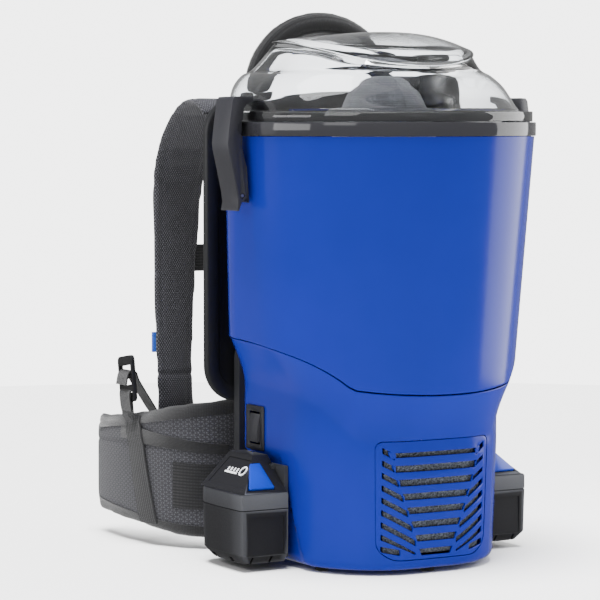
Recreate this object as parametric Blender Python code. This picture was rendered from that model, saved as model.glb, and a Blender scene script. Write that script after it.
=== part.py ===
"""A battery backpack vacuum cleaner: tank, base, clear lid, motor, batteries and harness.

Metres, +Z up. The vacuum stands on its feet at Z = 0. -Y is the outer side with the exhaust grille,
+Y the wearer's side, and +X is to the right when the grille is faced. Sizes below are measured from the
tank's upright axis, which the empty "tank_axis" carries to its place in the shared frame.
"""
import math

import bmesh
import bpy
from mathutils import Vector

# ---------------------------------------------------------------- driving dimensions
TANK_AXIS_Y = -0.0813          # the tank's axis, so that the origin lies under the middle of the whole
GAP = 0.0003                   # between pieces that touch
WALL = 0.003                   # moulded shells

RIM_Z = 0.4290                 # underside of the tank rim
RIM_TOP = 0.4430
LID_FLANGE_TOP = 0.4537
LID_TOP = 0.5330
DECK_Z = 0.2400                # floor of the dust tank
BASE_Z = 0.0040                # underside of the base
FLARE = 0.050                  # height over which the base widens to meet the tank

LATCH_X = 0.1800               # outermost bend of a latch
LATCH_Y = (-0.0120, 0.0210)
LATCH_PIN = (0.1630, 0.3710)   # x, z of its pin

BATTERY_Y = (-0.0200, 0.0800)
BATTERY_X = (0.1168, 0.1695)
BATTERY_SEAM = 0.0770
BATTERY_TOP = 0.1100

PLATE_Y = (0.1120, 0.1210)
PLATE_X = 0.1380
PLATE_Z = (0.1550, 0.4690)

HANDLE_TOP = 0.5580
HANDLE_X = 0.0920

STRAP_THICK = 0.0100
BELT_THICK = 0.0150

PORT_AT = (0.0800, 0.0120, 0.4790)          # inner end of the hose inlet, under the clear lid
PORT_WAY = (0.5, math.sqrt(0.75), 0.0)       # the way the hose leaves
PORT_R = 0.0205

ROUND = 40                     # sides of a turned piece
SIDES = (-1, 1)
SIDE_NAME = {-1: "left", 1: "right"}

# ---------------------------------------------------------------- materials
FINISHES = {
    "blue_shell": ((0.019, 0.100, 0.480, 1), 0.28, 0.0),
    "blue_button": ((0.012, 0.040, 0.370, 1), 0.35, 0.0),
    "black_moulding": ((0.012, 0.012, 0.014, 1), 0.50, 0.0),
    "dark_grey_moulding": ((0.065, 0.065, 0.075, 1), 0.45, 0.0),
    "battery_grey": ((0.050, 0.050, 0.058, 1), 0.55, 0.0),
    "gloss_rim": ((0.030, 0.030, 0.032, 1), 0.12, 0.0),
    "clear_lid": ((0.92, 0.94, 0.95, 0.35), 0.03, 0.0),
    "black_rubber": ((0.015, 0.015, 0.015, 1), 0.80, 0.0),
    "grey_filter": ((0.160, 0.165, 0.180, 1), 0.95, 0.0),
    "grey_foam": ((0.100, 0.105, 0.115, 1), 0.95, 0.0),
    "black_mesh": ((0.025, 0.025, 0.028, 1), 0.90, 0.0),
    "grey_mesh": ((0.085, 0.085, 0.095, 1), 0.90, 0.0),
    "black_webbing": ((0.040, 0.040, 0.045, 1), 0.85, 0.0),
    "steel": ((0.55, 0.56, 0.58, 1), 0.30, 1.0),
    "aluminium": ((0.62, 0.63, 0.65, 1), 0.40, 1.0),
    "circuit_board": ((0.010, 0.120, 0.045, 1), 0.50, 0.0),
}


def material(finish):
    """The Principled material of a finish, made once."""
    if finish in bpy.data.materials:
        return bpy.data.materials[finish]
    colour, roughness, metallic = FINISHES[finish]
    made = bpy.data.materials.new(finish)
    made.use_nodes = True
    shader = made.node_tree.nodes["Principled BSDF"]
    shader.inputs["Base Color"].default_value = colour
    shader.inputs["Roughness"].default_value = roughness
    shader.inputs["Metallic"].default_value = metallic
    shader.inputs["Alpha"].default_value = colour[3]
    return made


# ---------------------------------------------------------------- making solids
def add(name, bm, finish, smooth=35):
    """A named object of a closed mesh, its faces turned outwards."""
    bmesh.ops.recalc_face_normals(bm, faces=bm.faces[:])
    mesh = bpy.data.meshes.new(name)
    bm.to_mesh(mesh)
    bm.free()
    mesh.shade_smooth()
    mesh.set_sharp_from_angle(angle=math.radians(smooth))
    piece = bpy.data.objects.new(name, mesh)
    bpy.context.scene.collection.objects.link(piece)
    piece.parent = AXIS
    piece.data.materials.append(material(finish))
    return piece


def loft(rings, closed=False):
    """A mesh through rings of equal length: closed on itself, or capped at both ends."""
    bm = bmesh.new()
    rows = [[bm.verts.new(point) for point in ring] for ring in rings]
    pairs = list(zip(rows, rows[1:])) + ([(rows[-1], rows[0])] if closed else [])
    for low, high in pairs:
        for i in range(len(low)):
            j = (i + 1) % len(low)
            bm.faces.new((low[i], low[j], high[j], high[i]))
    if not closed:
        bm.faces.new(rows[0])
        bm.faces.new(rows[-1])
    return bm


def box(low, high):
    """A block between two corners."""
    (x0, y0, z0), (x1, y1, z1) = low, high
    corners = ((x0, y0), (x1, y0), (x1, y1), (x0, y1))
    return loft([[(x, y, z) for x, y in corners] for z in (z0, z1)])


def prism(outline, axis, low, high):
    """An outline of (u, v) points carried along X, Y or Z."""
    place = {
        "X": lambda u, v, t: (t, u, v),
        "Y": lambda u, v, t: (u, t, v),
        "Z": lambda u, v, t: (u, v, t),
    }[axis]
    return loft([[place(u, v, t) for u, v in outline] for t in (low, high)])


def circle(radius, count=ROUND):
    """Points of a circle about the origin."""
    return [(radius * math.cos(2 * math.pi * i / count), radius * math.sin(2 * math.pi * i / count))
            for i in range(count)]


def turned(profile, at=(0.0, 0.0), count=ROUND):
    """A body turned about an upright axis from a closed profile of (radius, z), clear of the axis."""
    rings = [[(at[0] + x, at[1] + y, z) for x, y in circle(radius, count)] for radius, z in profile]
    return loft(rings, closed=True)


def rod(start, end, radius, count=20):
    """A round bar between two points."""
    way = (Vector(end) - Vector(start)).normalized()
    turn = way.to_track_quat("Z", "Y").to_matrix()
    rim = [turn @ Vector((x, y, 0)) for x, y in circle(radius, count)]
    return loft([[Vector(end_point) + point for point in rim] for end_point in (start, end)])


def pipe(start, way, stations, count=28):
    """A hollow round piece on an axis, from closed (along, radius) stations."""
    way = Vector(way).normalized()
    turn = way.to_track_quat("Z", "Y").to_matrix()
    rings = []
    for along, radius in stations:
        centre = Vector(start) + way * along
        rings.append([centre + turn @ Vector((x, y, 0)) for x, y in circle(radius, count)])
    return loft(rings, closed=True)


def rounded(half_u, half_v, radius, steps=6, centre=(0.0, 0.0)):
    """Points of a rounded rectangle."""
    points = []
    for quarter, (su, sv) in enumerate(((1, 1), (-1, 1), (-1, -1), (1, -1))):
        for i in range(steps + 1):
            angle = math.radians(90 * (quarter + i / steps))
            points.append((centre[0] + su * (half_u - radius) + radius * math.cos(angle),
                           centre[1] + sv * (half_v - radius) + radius * math.sin(angle)))
    return points


def mirror_x(points, side):
    """Points or corners moved to the named side."""
    return [(side * point[0], *point[1:]) for point in points]


def cutter(name, bm):
    """A hidden cutting shape."""
    tool = add(name, bm, "black_moulding")
    tool.hide_render = True
    tool.display_type = "WIRE"
    return tool


def boolean(piece, tool, operation="DIFFERENCE"):
    """Cuts a piece with a tool, joins it or keeps their common part."""
    step = piece.modifiers.new(tool.name, "BOOLEAN")
    step.operation = operation
    step.object = tool
    return piece


def cut(piece, *shapes):
    """Takes several shapes out of a piece, one after another."""
    for number, shape in enumerate(shapes):
        boolean(piece, cutter(f"{piece.name}_cut_{number}", shape))
    return piece


# ---------------------------------------------------------------- the body's outer surface
def section(width, front, back, front_corner, back_corner, bow):
    """A body section from above: a rounded rectangle whose front bows out."""
    corners = ((width, back, back_corner, 0, 5), (-width, back, back_corner, 90, 5),
               (-width, -front, front_corner, 180, 9), (width, -front, front_corner, 270, 9))
    points = []
    for x, y, radius, start, steps in corners:
        for i in range(steps + 1):
            angle = math.radians(start + 90 * i / steps)
            px = x - math.copysign(radius, x) + radius * math.cos(angle)
            py = y - math.copysign(radius, y) + radius * math.sin(angle)
            if py < 0:
                py -= bow * (1 - (px / width) ** 2) * (-py / front)
            points.append((px, py))
    return points


def blend(a, b, amount):
    """A section between two others."""
    return [(ax + (bx - ax) * amount, ay + (by - ay) * amount) for (ax, ay), (bx, by) in zip(a, b)]


TANK_TOP = section(0.1550, 0.1550, 0.1000, 0.1500, 0.0800, 0.0)
TANK_FOOT = section(0.1360, 0.1350, 0.1000, 0.1300, 0.0460, 0.0)
BASE_WAIST = section(0.1120, 0.1060, 0.1000, 0.0840, 0.0300, 0.0060)
BASE_FOOT = section(0.1090, 0.1030, 0.0980, 0.0840, 0.0280, 0.0060)


def seam_height(point):
    """Height of the line where the tank meets the base: low across the front, high round the back."""
    from_front = abs(math.degrees(math.atan2(point[0], -point[1])))
    if from_front < 42:
        return 0.1785 + 0.0060 * (from_front / 42) ** 2
    return 0.1845 + 0.0430 * (1 - math.exp(-(from_front - 42) / 22))


SEAM = [seam_height(point) for point in TANK_FOOT]


def tank_section(z):
    """The tank's outer section at a height."""
    return blend(TANK_FOOT, TANK_TOP, (z - 0.19) / (RIM_Z - 0.19))


def base_point(i, z):
    """A point of the base's outer surface: it widens just under the seam."""
    below = max(SEAM[i] - z, 0.0)
    straight = blend(BASE_FOOT, BASE_WAIST, min(max(z / 0.12, 0), 1))[i]
    widening = max(1 - below / FLARE, 0.0) ** 1.5
    x, y = blend([straight], [TANK_FOOT[i]], widening)[0]
    return x, y


def inwards(ring, distance):
    """A ring of (x, y, z) points moved in towards the body's axis along its own normals."""
    moved = []
    for i, point in enumerate(ring):
        before, after = Vector(ring[i - 1][:2]), Vector(ring[(i + 1) % len(ring)][:2])
        along = (after - before).normalized()
        moved.append((point[0] - along.y * distance, point[1] + along.x * distance, point[2]))
    return moved


def tank_ring(z_of):
    """A ring of the tank's surface at heights given for each point."""
    return [(*tank_section(z_of(i))[i], z_of(i)) for i in range(len(SEAM))]


def base_ring(share, top_gap=0.0012):
    """A ring of the base's surface, from its floor at 0 to its seam at 1."""
    heights = [BASE_Z + share * (SEAM[i] - top_gap - BASE_Z) for i in range(len(SEAM))]
    return [(*base_point(i, z), z) for i, z in enumerate(heights)]


# ---------------------------------------------------------------- casings
def tank():
    """The dust tank: a tapered shell with a floor that carries the filter over its hole."""
    levels = (0.0, 0.34, 0.67, 1.0)
    outer = [tank_ring(lambda i, s=s: SEAM[i] + s * (RIM_Z - GAP - SEAM[i])) for s in levels]
    inner = [inwards(ring, WALL) for ring in outer]
    floor_top = inwards(tank_ring(lambda i: DECK_Z + WALL), WALL)
    floor_under = inwards(tank_ring(lambda i: DECK_Z), WALL)
    hole = 0.045 / 0.13
    hole_top = [(x * hole, y * hole, z) for x, y, z in floor_top]
    hole_under = [(x * hole, y * hole, z) for x, y, z in floor_under]
    rings = [hole_top, floor_top, *inner[2:], *reversed(outer), inner[0], floor_under, hole_under]
    return add("tank", loft(rings, closed=True), "blue_shell")


def grille_outline(grow=0.0):
    """The exhaust panel's outline in X and Z: it narrows downwards and its lower corners are cut off."""
    half = [(0.0480, 0.0145), (0.0630, 0.0260), (0.0655, 0.1200)]
    for i in range(4):
        angle = math.radians(30 * i)
        half.append((0.0545 + 0.0110 * math.cos(angle), 0.1210 + 0.0110 * math.sin(angle)))
    both = half + [(-x, z) for x, z in reversed(half)]
    return [(x + math.copysign(grow, x), z + math.copysign(grow, z - 0.07)) for x, z in both]


def base_housing():
    """The lower casing: holds the motor, and its wall is cut for the grille, the switch and the cover."""
    outer = [base_ring(share) for share in (0.045, 0.30, 0.55, 0.72, 0.80, 0.87, 0.94, 1.0)]
    sole = [(x, y, BASE_Z) for x, y, z in inwards(outer[0], 0.008)]
    inner = [inwards(ring, WALL) for ring in outer]
    floor = [(x, y, BASE_Z + WALL) for x, y, z in inwards(outer[0], 0.010)]
    shell = add("base_housing", loft([sole, *outer, *reversed(inner), floor]), "blue_shell")
    return cut(
        shell,
        prism(grille_outline(0.0005), "Y", -0.140, -0.080),
        box((-0.085, 0.090, 0.032), (0.085, 0.110, 0.172)),
        box((-0.120, 0.0385, 0.1155), (-0.100, 0.0695, 0.1525)),
    )


def rear_cover():
    """The plate that closes the base towards the wearer."""
    outline = rounded(0.1060, 0.0975, 0.0250, 5, (0, 0.1265))
    return add("rear_cover", prism(outline, "Y", 0.1000 + GAP, PLATE_Y[0] - GAP), "black_moulding")


def tank_rim():
    """The glossy ring round the mouth of the tank, which seats the lid."""
    low, high = RIM_Z, RIM_TOP
    out_low = inwards([(*p, low) for p in TANK_TOP], -0.0015)
    out_high = [(x, y, high) for x, y, z in out_low]
    in_high = inwards(out_high, 0.0090)
    in_low = [(x, y, low) for x, y, z in in_high]
    return add("tank_rim", loft([out_low, out_high, in_high, in_low], closed=True), "gloss_rim")


def lid_outline(width, front, back, corner):
    """A lid section from above: half an ellipse in front, rounded corners behind."""
    points = []
    for x, start in ((width - corner, 0), (corner - width, 90)):
        for i in range(6):
            angle = math.radians(start + 18 * i)
            points.append((x + corner * math.cos(angle), back - corner + corner * math.sin(angle)))
    for i in range(21):
        angle = math.pi * (1 + i / 20)
        points.append((width * math.cos(angle), front * math.sin(angle)))
    return points


def hood_edge(y):
    """Height of the hood's edge: level behind, falling away to the front."""
    return 0.4985 + 0.0243 * (1 - (max(0.050 - y, 0.0) / 0.138) ** 2)


def lid_rings():
    """The lid's outer rings: a flange, a dome with a sloping front and a crowned hood over it."""
    flange = lid_outline(0.1550, 0.1550, 0.1000, 0.0800)
    rings = [[(x, y, z) for x, y in flange] for z in (RIM_TOP + GAP, LID_FLANGE_TOP)]
    for z, *sizes in ((0.4538, 0.1480, 0.1290, 0.0955, 0.070), (0.4680, 0.1460, 0.0980, 0.0950, 0.066),
                      (0.4800, 0.1390, 0.0840, 0.0940, 0.058), (0.4900, 0.1260, 0.0760, 0.0920, 0.046),
                      (0.4965, 0.1130, 0.0720, 0.0880, 0.040)):
        rings.append([(x, y, z) for x, y in lid_outline(*sizes)])
    for share, crown in ((1.0, 0.0), (0.80, 0.55), (0.50, 0.88), (0.18, 1.0)):
        hood = lid_outline(0.0960, 0.0880, 0.0680, 0.030)
        edge = [(x * share, y * share - 0.010 * (1 - share)) for x, y in hood]
        rings.append([(x, y, hood_edge(y) + crown * (LID_TOP - hood_edge(y))) for x, y in edge])
    return rings


def lid():
    """The clear lid: its flange sits on the rim, and the hose inlet passes through its rear wall."""
    outer = lid_rings()
    inner = [[(x, y, z - 0.0022) for x, y, z in inwards(ring, 0.0024)] for ring in outer[2:]]
    mouth = [(x, y, RIM_TOP + GAP) for x, y, z in inner[0]]
    rings = [*reversed(outer), mouth, *inner]
    shell = add("lid", loft(rings), "clear_lid", smooth=30)
    lugs = []
    for side in SIDES:
        lugs.append(cutter(f"lid_lug_{SIDE_NAME[side]}",
                           box(*ordered((side * 0.1510, LATCH_Y[0] + 0.008, LID_FLANGE_TOP - 0.003),
                                        (side * 0.1560, LATCH_Y[1] - 0.008, 0.4575)))))
    for lug in lugs:
        boolean(shell, lug, "UNION")
    start = Vector(PORT_AT) + Vector(PORT_WAY) * 0.0330
    return cut(shell, rod(start, start + Vector(PORT_WAY) * 0.0770, PORT_R + 0.0010, 28))


def ordered(a, b):
    """Two corners with the lower values first."""
    return tuple(map(min, a, b)), tuple(map(max, a, b))


def lid_seal():
    """The soft ring inside the rim that the lid's flange presses on."""
    base = [(*p, RIM_Z + 0.004) for p in TANK_TOP]
    outer = inwards(base, 0.0078)
    inner = inwards(base, 0.0128)
    rings = [outer, [(x, y, RIM_TOP) for x, y, z in outer], [(x, y, RIM_TOP) for x, y, z in inner], inner]
    return add("lid_seal", loft(rings, closed=True), "black_rubber")


def hose_inlet():
    """The elbow that the hose's air comes in by: it leaves the lid's rear wall and opens downwards."""
    start, way = Vector(PORT_AT), Vector(PORT_WAY)
    centres = [(start + way * along, way) for along in (0.0820, 0.0420)]
    bend = 0.030
    for i in range(6):
        angle = math.radians(18 * i)
        centre = start + way * bend * (1 - math.sin(angle)) - Vector((0, 0, bend)) * (1 - math.cos(angle))
        centres.append((centre, way * math.cos(angle) + Vector((0, 0, 1)) * math.sin(angle)))
    side = way.cross(Vector((0, 0, 1)))
    outer = []
    inner = []
    for i, (centre, along) in enumerate(centres):
        up = side.cross(along)
        swell = 0.0 if i < 2 else 0.0010
        for rings, radius in ((outer, PORT_R + swell), (inner, PORT_R + swell - 0.003)):
            rings.append([centre + side * x + up * y for x, y in circle(radius, 24)])
    return add("hose_inlet", loft(outer + inner[::-1], closed=True), "black_moulding")


def hose_swivel():
    """The collar that turns on the inlet's outer end and takes the hose cuff."""
    start, shoulder, end = 0.0805, 0.0825, 0.0940
    stations = [(start, PORT_R + 0.0004), (start, PORT_R + 0.0040), (end - 0.002, PORT_R + 0.0040),
                (end, PORT_R + 0.0020), (end, PORT_R - 0.0030), (shoulder, PORT_R - 0.0030),
                (shoulder, PORT_R + 0.0004)]
    return add("hose_swivel", pipe(PORT_AT, PORT_WAY, stations), "black_moulding")


# ---------------------------------------------------------------- latches
def latch(side):
    """A lever with a hook over the lid's lug and a flared finger tab below its pin."""
    outline = [(0.1510, 0.4680), (0.1735, 0.4680), (LATCH_X, 0.4225), (0.1695, 0.3740), (0.1680, 0.3650),
               (0.1700, 0.3560), (0.1670, 0.3560), (0.1640, 0.3640), (0.1590, 0.3680), (0.1590, 0.4000),
               (0.1640, 0.4180), (0.1620, 0.4560), (0.1580, 0.4608), (0.1510, 0.4625)]
    lever = add(f"latch_{SIDE_NAME[side]}", prism(mirror_x(outline, side), "Y", *LATCH_Y),
                "dark_grey_moulding")
    x, z = LATCH_PIN
    slot = box(*ordered((side * 0.1500, LATCH_Y[0] + 0.0040, 0.3500),
                        (side * 0.1665, LATCH_Y[1] - 0.0040, 0.4010)))
    hole = rod((side * x, -0.030, z), (side * x, 0.040, z), 0.0023)
    return cut(lever, slot, hole)


def latch_bracket(side):
    """The block on the tank that carries the latch's pin between the lever's cheeks."""
    outline = [(0.1535, 0.3640), (0.1600, 0.3660), (0.1648, 0.3688), (0.1655, 0.3735), (0.1600, 0.3960),
               (0.1560, 0.4000)]
    low, high = LATCH_Y[0] + 0.0048, LATCH_Y[1] - 0.0048
    block = add(f"latch_bracket_{SIDE_NAME[side]}", prism(mirror_x(outline, side), "Y", low, high),
                "black_moulding")
    x, z = LATCH_PIN
    return cut(block, rod((side * x, -0.030, z), (side * x, 0.040, z), 0.0023))


def latch_pin(side):
    """The steel pin that a latch turns on."""
    x, z = LATCH_PIN
    pin = rod((side * x, LATCH_Y[0] + 0.001, z), (side * x, LATCH_Y[1] - 0.001, z), 0.0020)
    return add(f"latch_pin_{SIDE_NAME[side]}", pin, "steel")


# ---------------------------------------------------------------- filter and motor
def cone_filter():
    """The domed cloth filter over the hole in the tank's floor."""
    outer = [(0.0780, 0.2520), (0.0740, 0.3000), (0.0620, 0.3800), (0.0500, 0.4350), (0.0400, 0.4600),
             (0.0250, 0.4800), (0.0080, 0.4895)]
    inner = [(r - 0.003 if r > 0.01 else r * 0.5, z - 0.003) for r, z in reversed(outer)]
    inner[-1] = (inner[-1][0], 0.2520)
    profile = outer + inner
    rings = [[(x, y - 0.010, z) for x, y in circle(r, 32)] for r, z in profile]
    return add("cone_filter", loft_dome(rings, len(outer)), "grey_filter")


def loft_dome(rings, outer_count):
    """A dome's skin: its outer rings and inner rings are each closed at the crown."""
    bm = bmesh.new()
    rows = [[bm.verts.new(point) for point in ring] for ring in rings]
    outside, inside = rows[:outer_count], rows[outer_count:]
    chain = list(zip(outside, outside[1:])) + list(zip(inside, inside[1:]))
    chain.append((rows[-1], rows[0]))
    for low, high in chain:
        for i in range(len(low)):
            j = (i + 1) % len(low)
            bm.faces.new((low[i], low[j], high[j], high[i]))
    bm.faces.new(rows[outer_count - 1])
    bm.faces.new(rows[outer_count])
    return bm


def filter_ring():
    """The ring that holds the filter's hem on the tank's floor."""
    low = DECK_Z + WALL + GAP
    profile = [(0.0600, low), (0.0820, low), (0.0820, 0.2560), (0.0785, 0.2560), (0.0785, 0.2515),
               (0.0600, 0.2515)]
    return add("filter_ring", turned(profile, (0, -0.010), 32), "black_moulding")


def motor_parts():
    """Motor, shaft, two bearings, fan and fan housing on the tank's axis, in the base."""
    add("fan_housing", turned([(0.0300, 0.2340), (0.0640, 0.2340), (0.0640, 0.1840), (0.0240, 0.1840),
                               (0.0240, 0.1870), (0.0610, 0.1870), (0.0610, 0.2310), (0.0300, 0.2310)]),
        "black_moulding")
    fan = add("impeller", turned([(0.0043, 0.1950), (0.0560, 0.1950), (0.0560, 0.1975), (0.0160, 0.2020),
                                  (0.0120, 0.2200), (0.0043, 0.2200)]), "aluminium")
    for number in range(7):
        angle = 2 * math.pi * number / 7
        ways = []
        for z in (0.1960, 0.2160):
            ring = []
            for r, turn, half in ((0.0120, 0.0, 0.06), (0.0120, 0.0, -0.06), (0.0540, -0.7, -0.012),
                                  (0.0540, -0.7, 0.012)):
                ring.append((r * math.cos(angle + turn + half), r * math.sin(angle + turn + half), z))
            ways.append(ring)
        boolean(fan, cutter(f"impeller_blade_{number}", loft(ways)), "UNION")
    add("motor_can", turned([(0.0125, 0.0900), (0.0450, 0.0900), (0.0450, 0.1780), (0.0125, 0.1780),
                             (0.0125, 0.1750), (0.0420, 0.1750), (0.0420, 0.0930), (0.0125, 0.0930)]), "steel")
    add("motor_mount", turned([(0.0455, 0.1500), (0.0780, 0.1500), (0.0780, 0.1560), (0.0500, 0.1560),
                               (0.0500, 0.1830), (0.0455, 0.1830)]), "black_moulding")
    for name, low in (("bearing_top", 0.1740), ("bearing_bottom", 0.0900)):
        add(name, turned([(0.0043, low), (0.0120, low), (0.0120, low + 0.006), (0.0043, low + 0.006)], (0, 0), 24),
            "steel")
    add("motor_shaft", rod((0, 0, 0.0860), (0, 0, 0.2230), 0.0040, 24), "steel")


def exhaust_foam():
    """The foam block behind the grille that quietens and filters the exhaust air."""
    return add("exhaust_foam", box((-0.058, -0.0965, 0.030), (0.058, -0.0850, 0.118)), "grey_foam")


def front_surface(x, z, depth):
    """Y of the base's front at a point, moved in by a depth."""
    ring = [base_point(i, z) for i in range(len(SEAM))]
    front = sorted(point for point in ring if point[1] < -0.03)
    for a, b in zip(front, front[1:]):
        if a[0] <= x <= b[0]:
            return a[1] + (b[1] - a[1]) * (x - a[0]) / max(b[0] - a[0], 1e-9) + depth
    return front[0][1] + depth


def slot_prism(points):
    """A cutting bar through the grille from its outline in X and Z."""
    return prism(points, "Y", -0.150, -0.060)


def grille_slots():
    """Outlines of the slots: level ones down the middle, slanting ones at both sides."""
    outlines = []
    pitch, height = 0.0139, 0.0065
    for row in range(8):
        z = 0.0220 + pitch * row
        low = 0.0168 + (0.0510 - 0.0168) * (z - 0.022) / 0.097
        high = low + 0.0022
        outlines.append([(-low, z - height / 2), (low, z - height / 2), (high, z + height / 2),
                         (-high, z + height / 2)])
        if row < 7:
            for side in SIDES:
                start, end = low + 0.0055, 0.0585
                if end - start > 0.006:
                    rise = 0.55 * (end - start)
                    points = [(start, z + 0.004), (end, z + 0.004 + rise), (end, z + 0.010 + rise),
                              (start, z + 0.010)]
                    outlines.append(mirror_x(points, side))
    return outlines


def exhaust_grille():
    """The curved, slotted panel in the front of the base."""
    xs = [-0.069 + 0.0138 * i for i in range(11)]
    zs = (0.010, 0.135)
    outer = [[(x, front_surface(x, min(z, 0.12), 0.0002), z) for x in xs] for z in zs]
    inner = [[(x, front_surface(x, min(z, 0.12), 0.0032), z) for x in reversed(xs)] for z in zs]
    slab = loft([outer[k] + inner[k] for k in (0, 1)])
    panel = add("exhaust_grille", slab, "blue_shell")
    boolean(panel, cutter("grille_shape", slot_prism(grille_outline())), "INTERSECT")
    return cut(panel, *[slot_prism(points) for points in grille_slots()])


# ---------------------------------------------------------------- electrics
def switch():
    """The bezel and the rocker on the left wall of the base."""
    outline = rounded(0.0180, 0.0225, 0.0020, 3, (0.0540, 0.1340))
    bezel = add("switch_bezel", prism(outline, "X", -0.1138, -0.1123), "dark_grey_moulding")
    cut(bezel, box((-0.1200, 0.0430, 0.1175), (-0.1050, 0.0650, 0.1505)))
    arc = [(-0.1143 - 0.0020 * (1 - (t / 3 - 1) ** 2) + 0.0015 * (t / 3 - 1), 0.1195 + 0.0290 * t / 6)
           for t in range(7)]
    rocker = arc + [(-0.1060, 0.1455), (-0.1060, 0.1225)]
    return add("switch_rocker", prism(rocker, "Y", 0.0440, 0.0640), "black_moulding")


def control_board():
    """The motor controller's board, upright at the back of the base."""
    return add("control_board", box((-0.060, 0.0700, 0.040), (0.060, 0.0716, 0.120)), "circuit_board")


def battery_dock(side):
    """The rail plate on the side of the base that a battery slides down onto."""
    plate = add(f"battery_dock_{SIDE_NAME[side]}",
                box(*ordered((side * 0.1124, -0.0120, 0.0120), (side * 0.1162, 0.0680, 0.1020))),
                "black_moulding")
    for number, y in enumerate((0.010, 0.050)):
        rail = box(*ordered((side * 0.1155, y - 0.003, 0.0120), (side * 0.1200, y + 0.003, 0.1020)))
        boolean(plate, cutter(f"dock_rail_{SIDE_NAME[side]}_{number}", rail), "UNION")
    return plate


def battery_outline(inset):
    """A battery seen from above: straight against the dock, rounded at its outer rear corner."""
    x0, x1 = BATTERY_X[0], BATTERY_X[1] - inset
    y0, y1 = BATTERY_Y[0] + inset, BATTERY_Y[1] - inset
    radius = 0.026
    points = [(x0, y0), (x1 - 0.003, y0), (x1, y0 + 0.003), (x1 + 0.001, 0.025)]
    for i in range(6):
        angle = math.radians(90 * i / 5)
        points.append((x1 - radius + radius * math.cos(angle), y1 - radius + radius * math.sin(angle)))
    points.append((x0, y1))
    return points


def rail_grooves(side):
    """Cutting bars for the grooves that run on the dock's rails."""
    return [box(*ordered((side * 0.1100, y - 0.0035, -0.01), (side * 0.1205, y + 0.0035, 0.13)))
            for y in (0.010, 0.050)]


def battery(side):
    """A battery pack: case, wedge-shaped cap and the release button in the cap's front."""
    name = SIDE_NAME[side]
    levels = ((0.0070, 0.0080), (0.0160, 0.0015), (0.0600, 0.0), (BATTERY_SEAM - GAP, 0.0))
    rings = [[(side * x, y, z) for x, y in battery_outline(inset)] for z, inset in levels]
    cut(add(f"battery_case_{name}", loft(rings), "battery_grey"), *rail_grooves(side))
    foot = [(0.1168, -0.0180), (0.1650, -0.0180), (0.1650, 0.0740), (0.1168, 0.0740)]
    roof = [(0.1168, 0.0220), (0.1340, 0.0220), (0.1340, 0.0700), (0.1168, 0.0700)]
    top = add(f"battery_top_{name}",
              loft([[(side * x, y, z) for x, y in ring] for ring, z in ((foot, BATTERY_SEAM), (roof, BATTERY_TOP))]),
              "black_moulding")
    pocket = [(0.1285, 0.0045), (0.1595, 0.0045), (0.1440, 0.0400), (0.1310, 0.0400)]
    cut(top, *rail_grooves(side), sloped(side, pocket, -0.0045, 0.0200))
    key = [(0.1295, 0.0055), (0.1580, 0.0055), (0.1430, 0.0390), (0.1320, 0.0390)]
    add(f"battery_release_{name}", sloped(side, key, -0.0015, 0.0022), "blue_button")


def sloped(side, outline, low, high):
    """A block on the cap's sloping front: (x, distance up the slope), from one depth to another."""
    up = Vector((0, 0.0400, BATTERY_TOP - BATTERY_SEAM)).normalized()
    out = Vector((0, -up.z, up.y))
    foot = Vector((0, -0.0180, BATTERY_SEAM))
    return loft([[foot + Vector((side * x, 0, 0)) + up * s + out * depth for x, s in outline]
                 for depth in (low, high)])


# ---------------------------------------------------------------- harness
def back_plate():
    """The moulded plate between the tank and the wearer, which the harness hangs on."""
    low, high = PLATE_Z
    centre = (0, (low + high) / 2)
    outline = rounded(PLATE_X, (high - low) / 2, 0.0380, 6, centre)
    return add("back_plate", prism(outline, "Y", *PLATE_Y), "black_moulding")


def plate_mount():
    """The block that carries the back plate on the rear of the tank."""
    outline = rounded(0.0700, 0.0500, 0.0100, 3, (0, 0.3350))
    return add("plate_mount", prism(outline, "Y", 0.1000 + GAP, PLATE_Y[0] - GAP), "black_moulding")


def plate_screw(side):
    """One of the two screws through the back plate into its mount."""
    at = (side * 0.0625, PLATE_Y[1] + GAP, 0.3350)
    head = rod(at, (at[0], at[1] + 0.0022, at[2]), 0.0045, 16)
    return add(f"plate_screw_{SIDE_NAME[side]}", head, "steel")


def handle_foot(side):
    """The moulded clamp that holds one end of the carry handle on the plate's top edge."""
    outline = rounded(0.0170, 0.0045, 0.0030, 3, (side * 0.0790, PLATE_Z[1] + GAP + 0.0045))
    return add(f"handle_foot_{SIDE_NAME[side]}", prism(outline, "Y", 0.1090, 0.1240), "black_moulding")


def carry_handle():
    """The padded arch over the lid's rear, by which the machine is carried."""
    rings = []
    start = PLATE_Z[1] + 0.0100
    for i in range(21):
        angle = math.pi * i / 20
        ring = []
        for u, v in rounded(0.0140, 0.0080, 0.0060, 2):
            wide, tall = HANDLE_X - 0.0140 + u, HANDLE_TOP - 0.0140 - start + u
            ring.append((wide * math.cos(angle), 0.1165 + v, start + tall * math.sin(angle)))
        rings.append(ring)
    return add("carry_handle", loft(rings), "black_mesh")


def band(name, path, finish, steps=3):
    """A flat padded band: path rows are (centre, half width vector, half thickness vector)."""
    rings = []
    for centre, width, thick in path:
        c, w, t = Vector(centre), Vector(width), Vector(thick)
        rings.append([c - w * 0.94 - t, c + w * 0.94 - t, c + w - t * 0.3, c + w + t * 0.3, c + w * 0.94 + t,
                      c - w * 0.94 + t, c - w + t * 0.3, c - w - t * 0.3])
    return add(name, loft(rings), finish)


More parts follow.
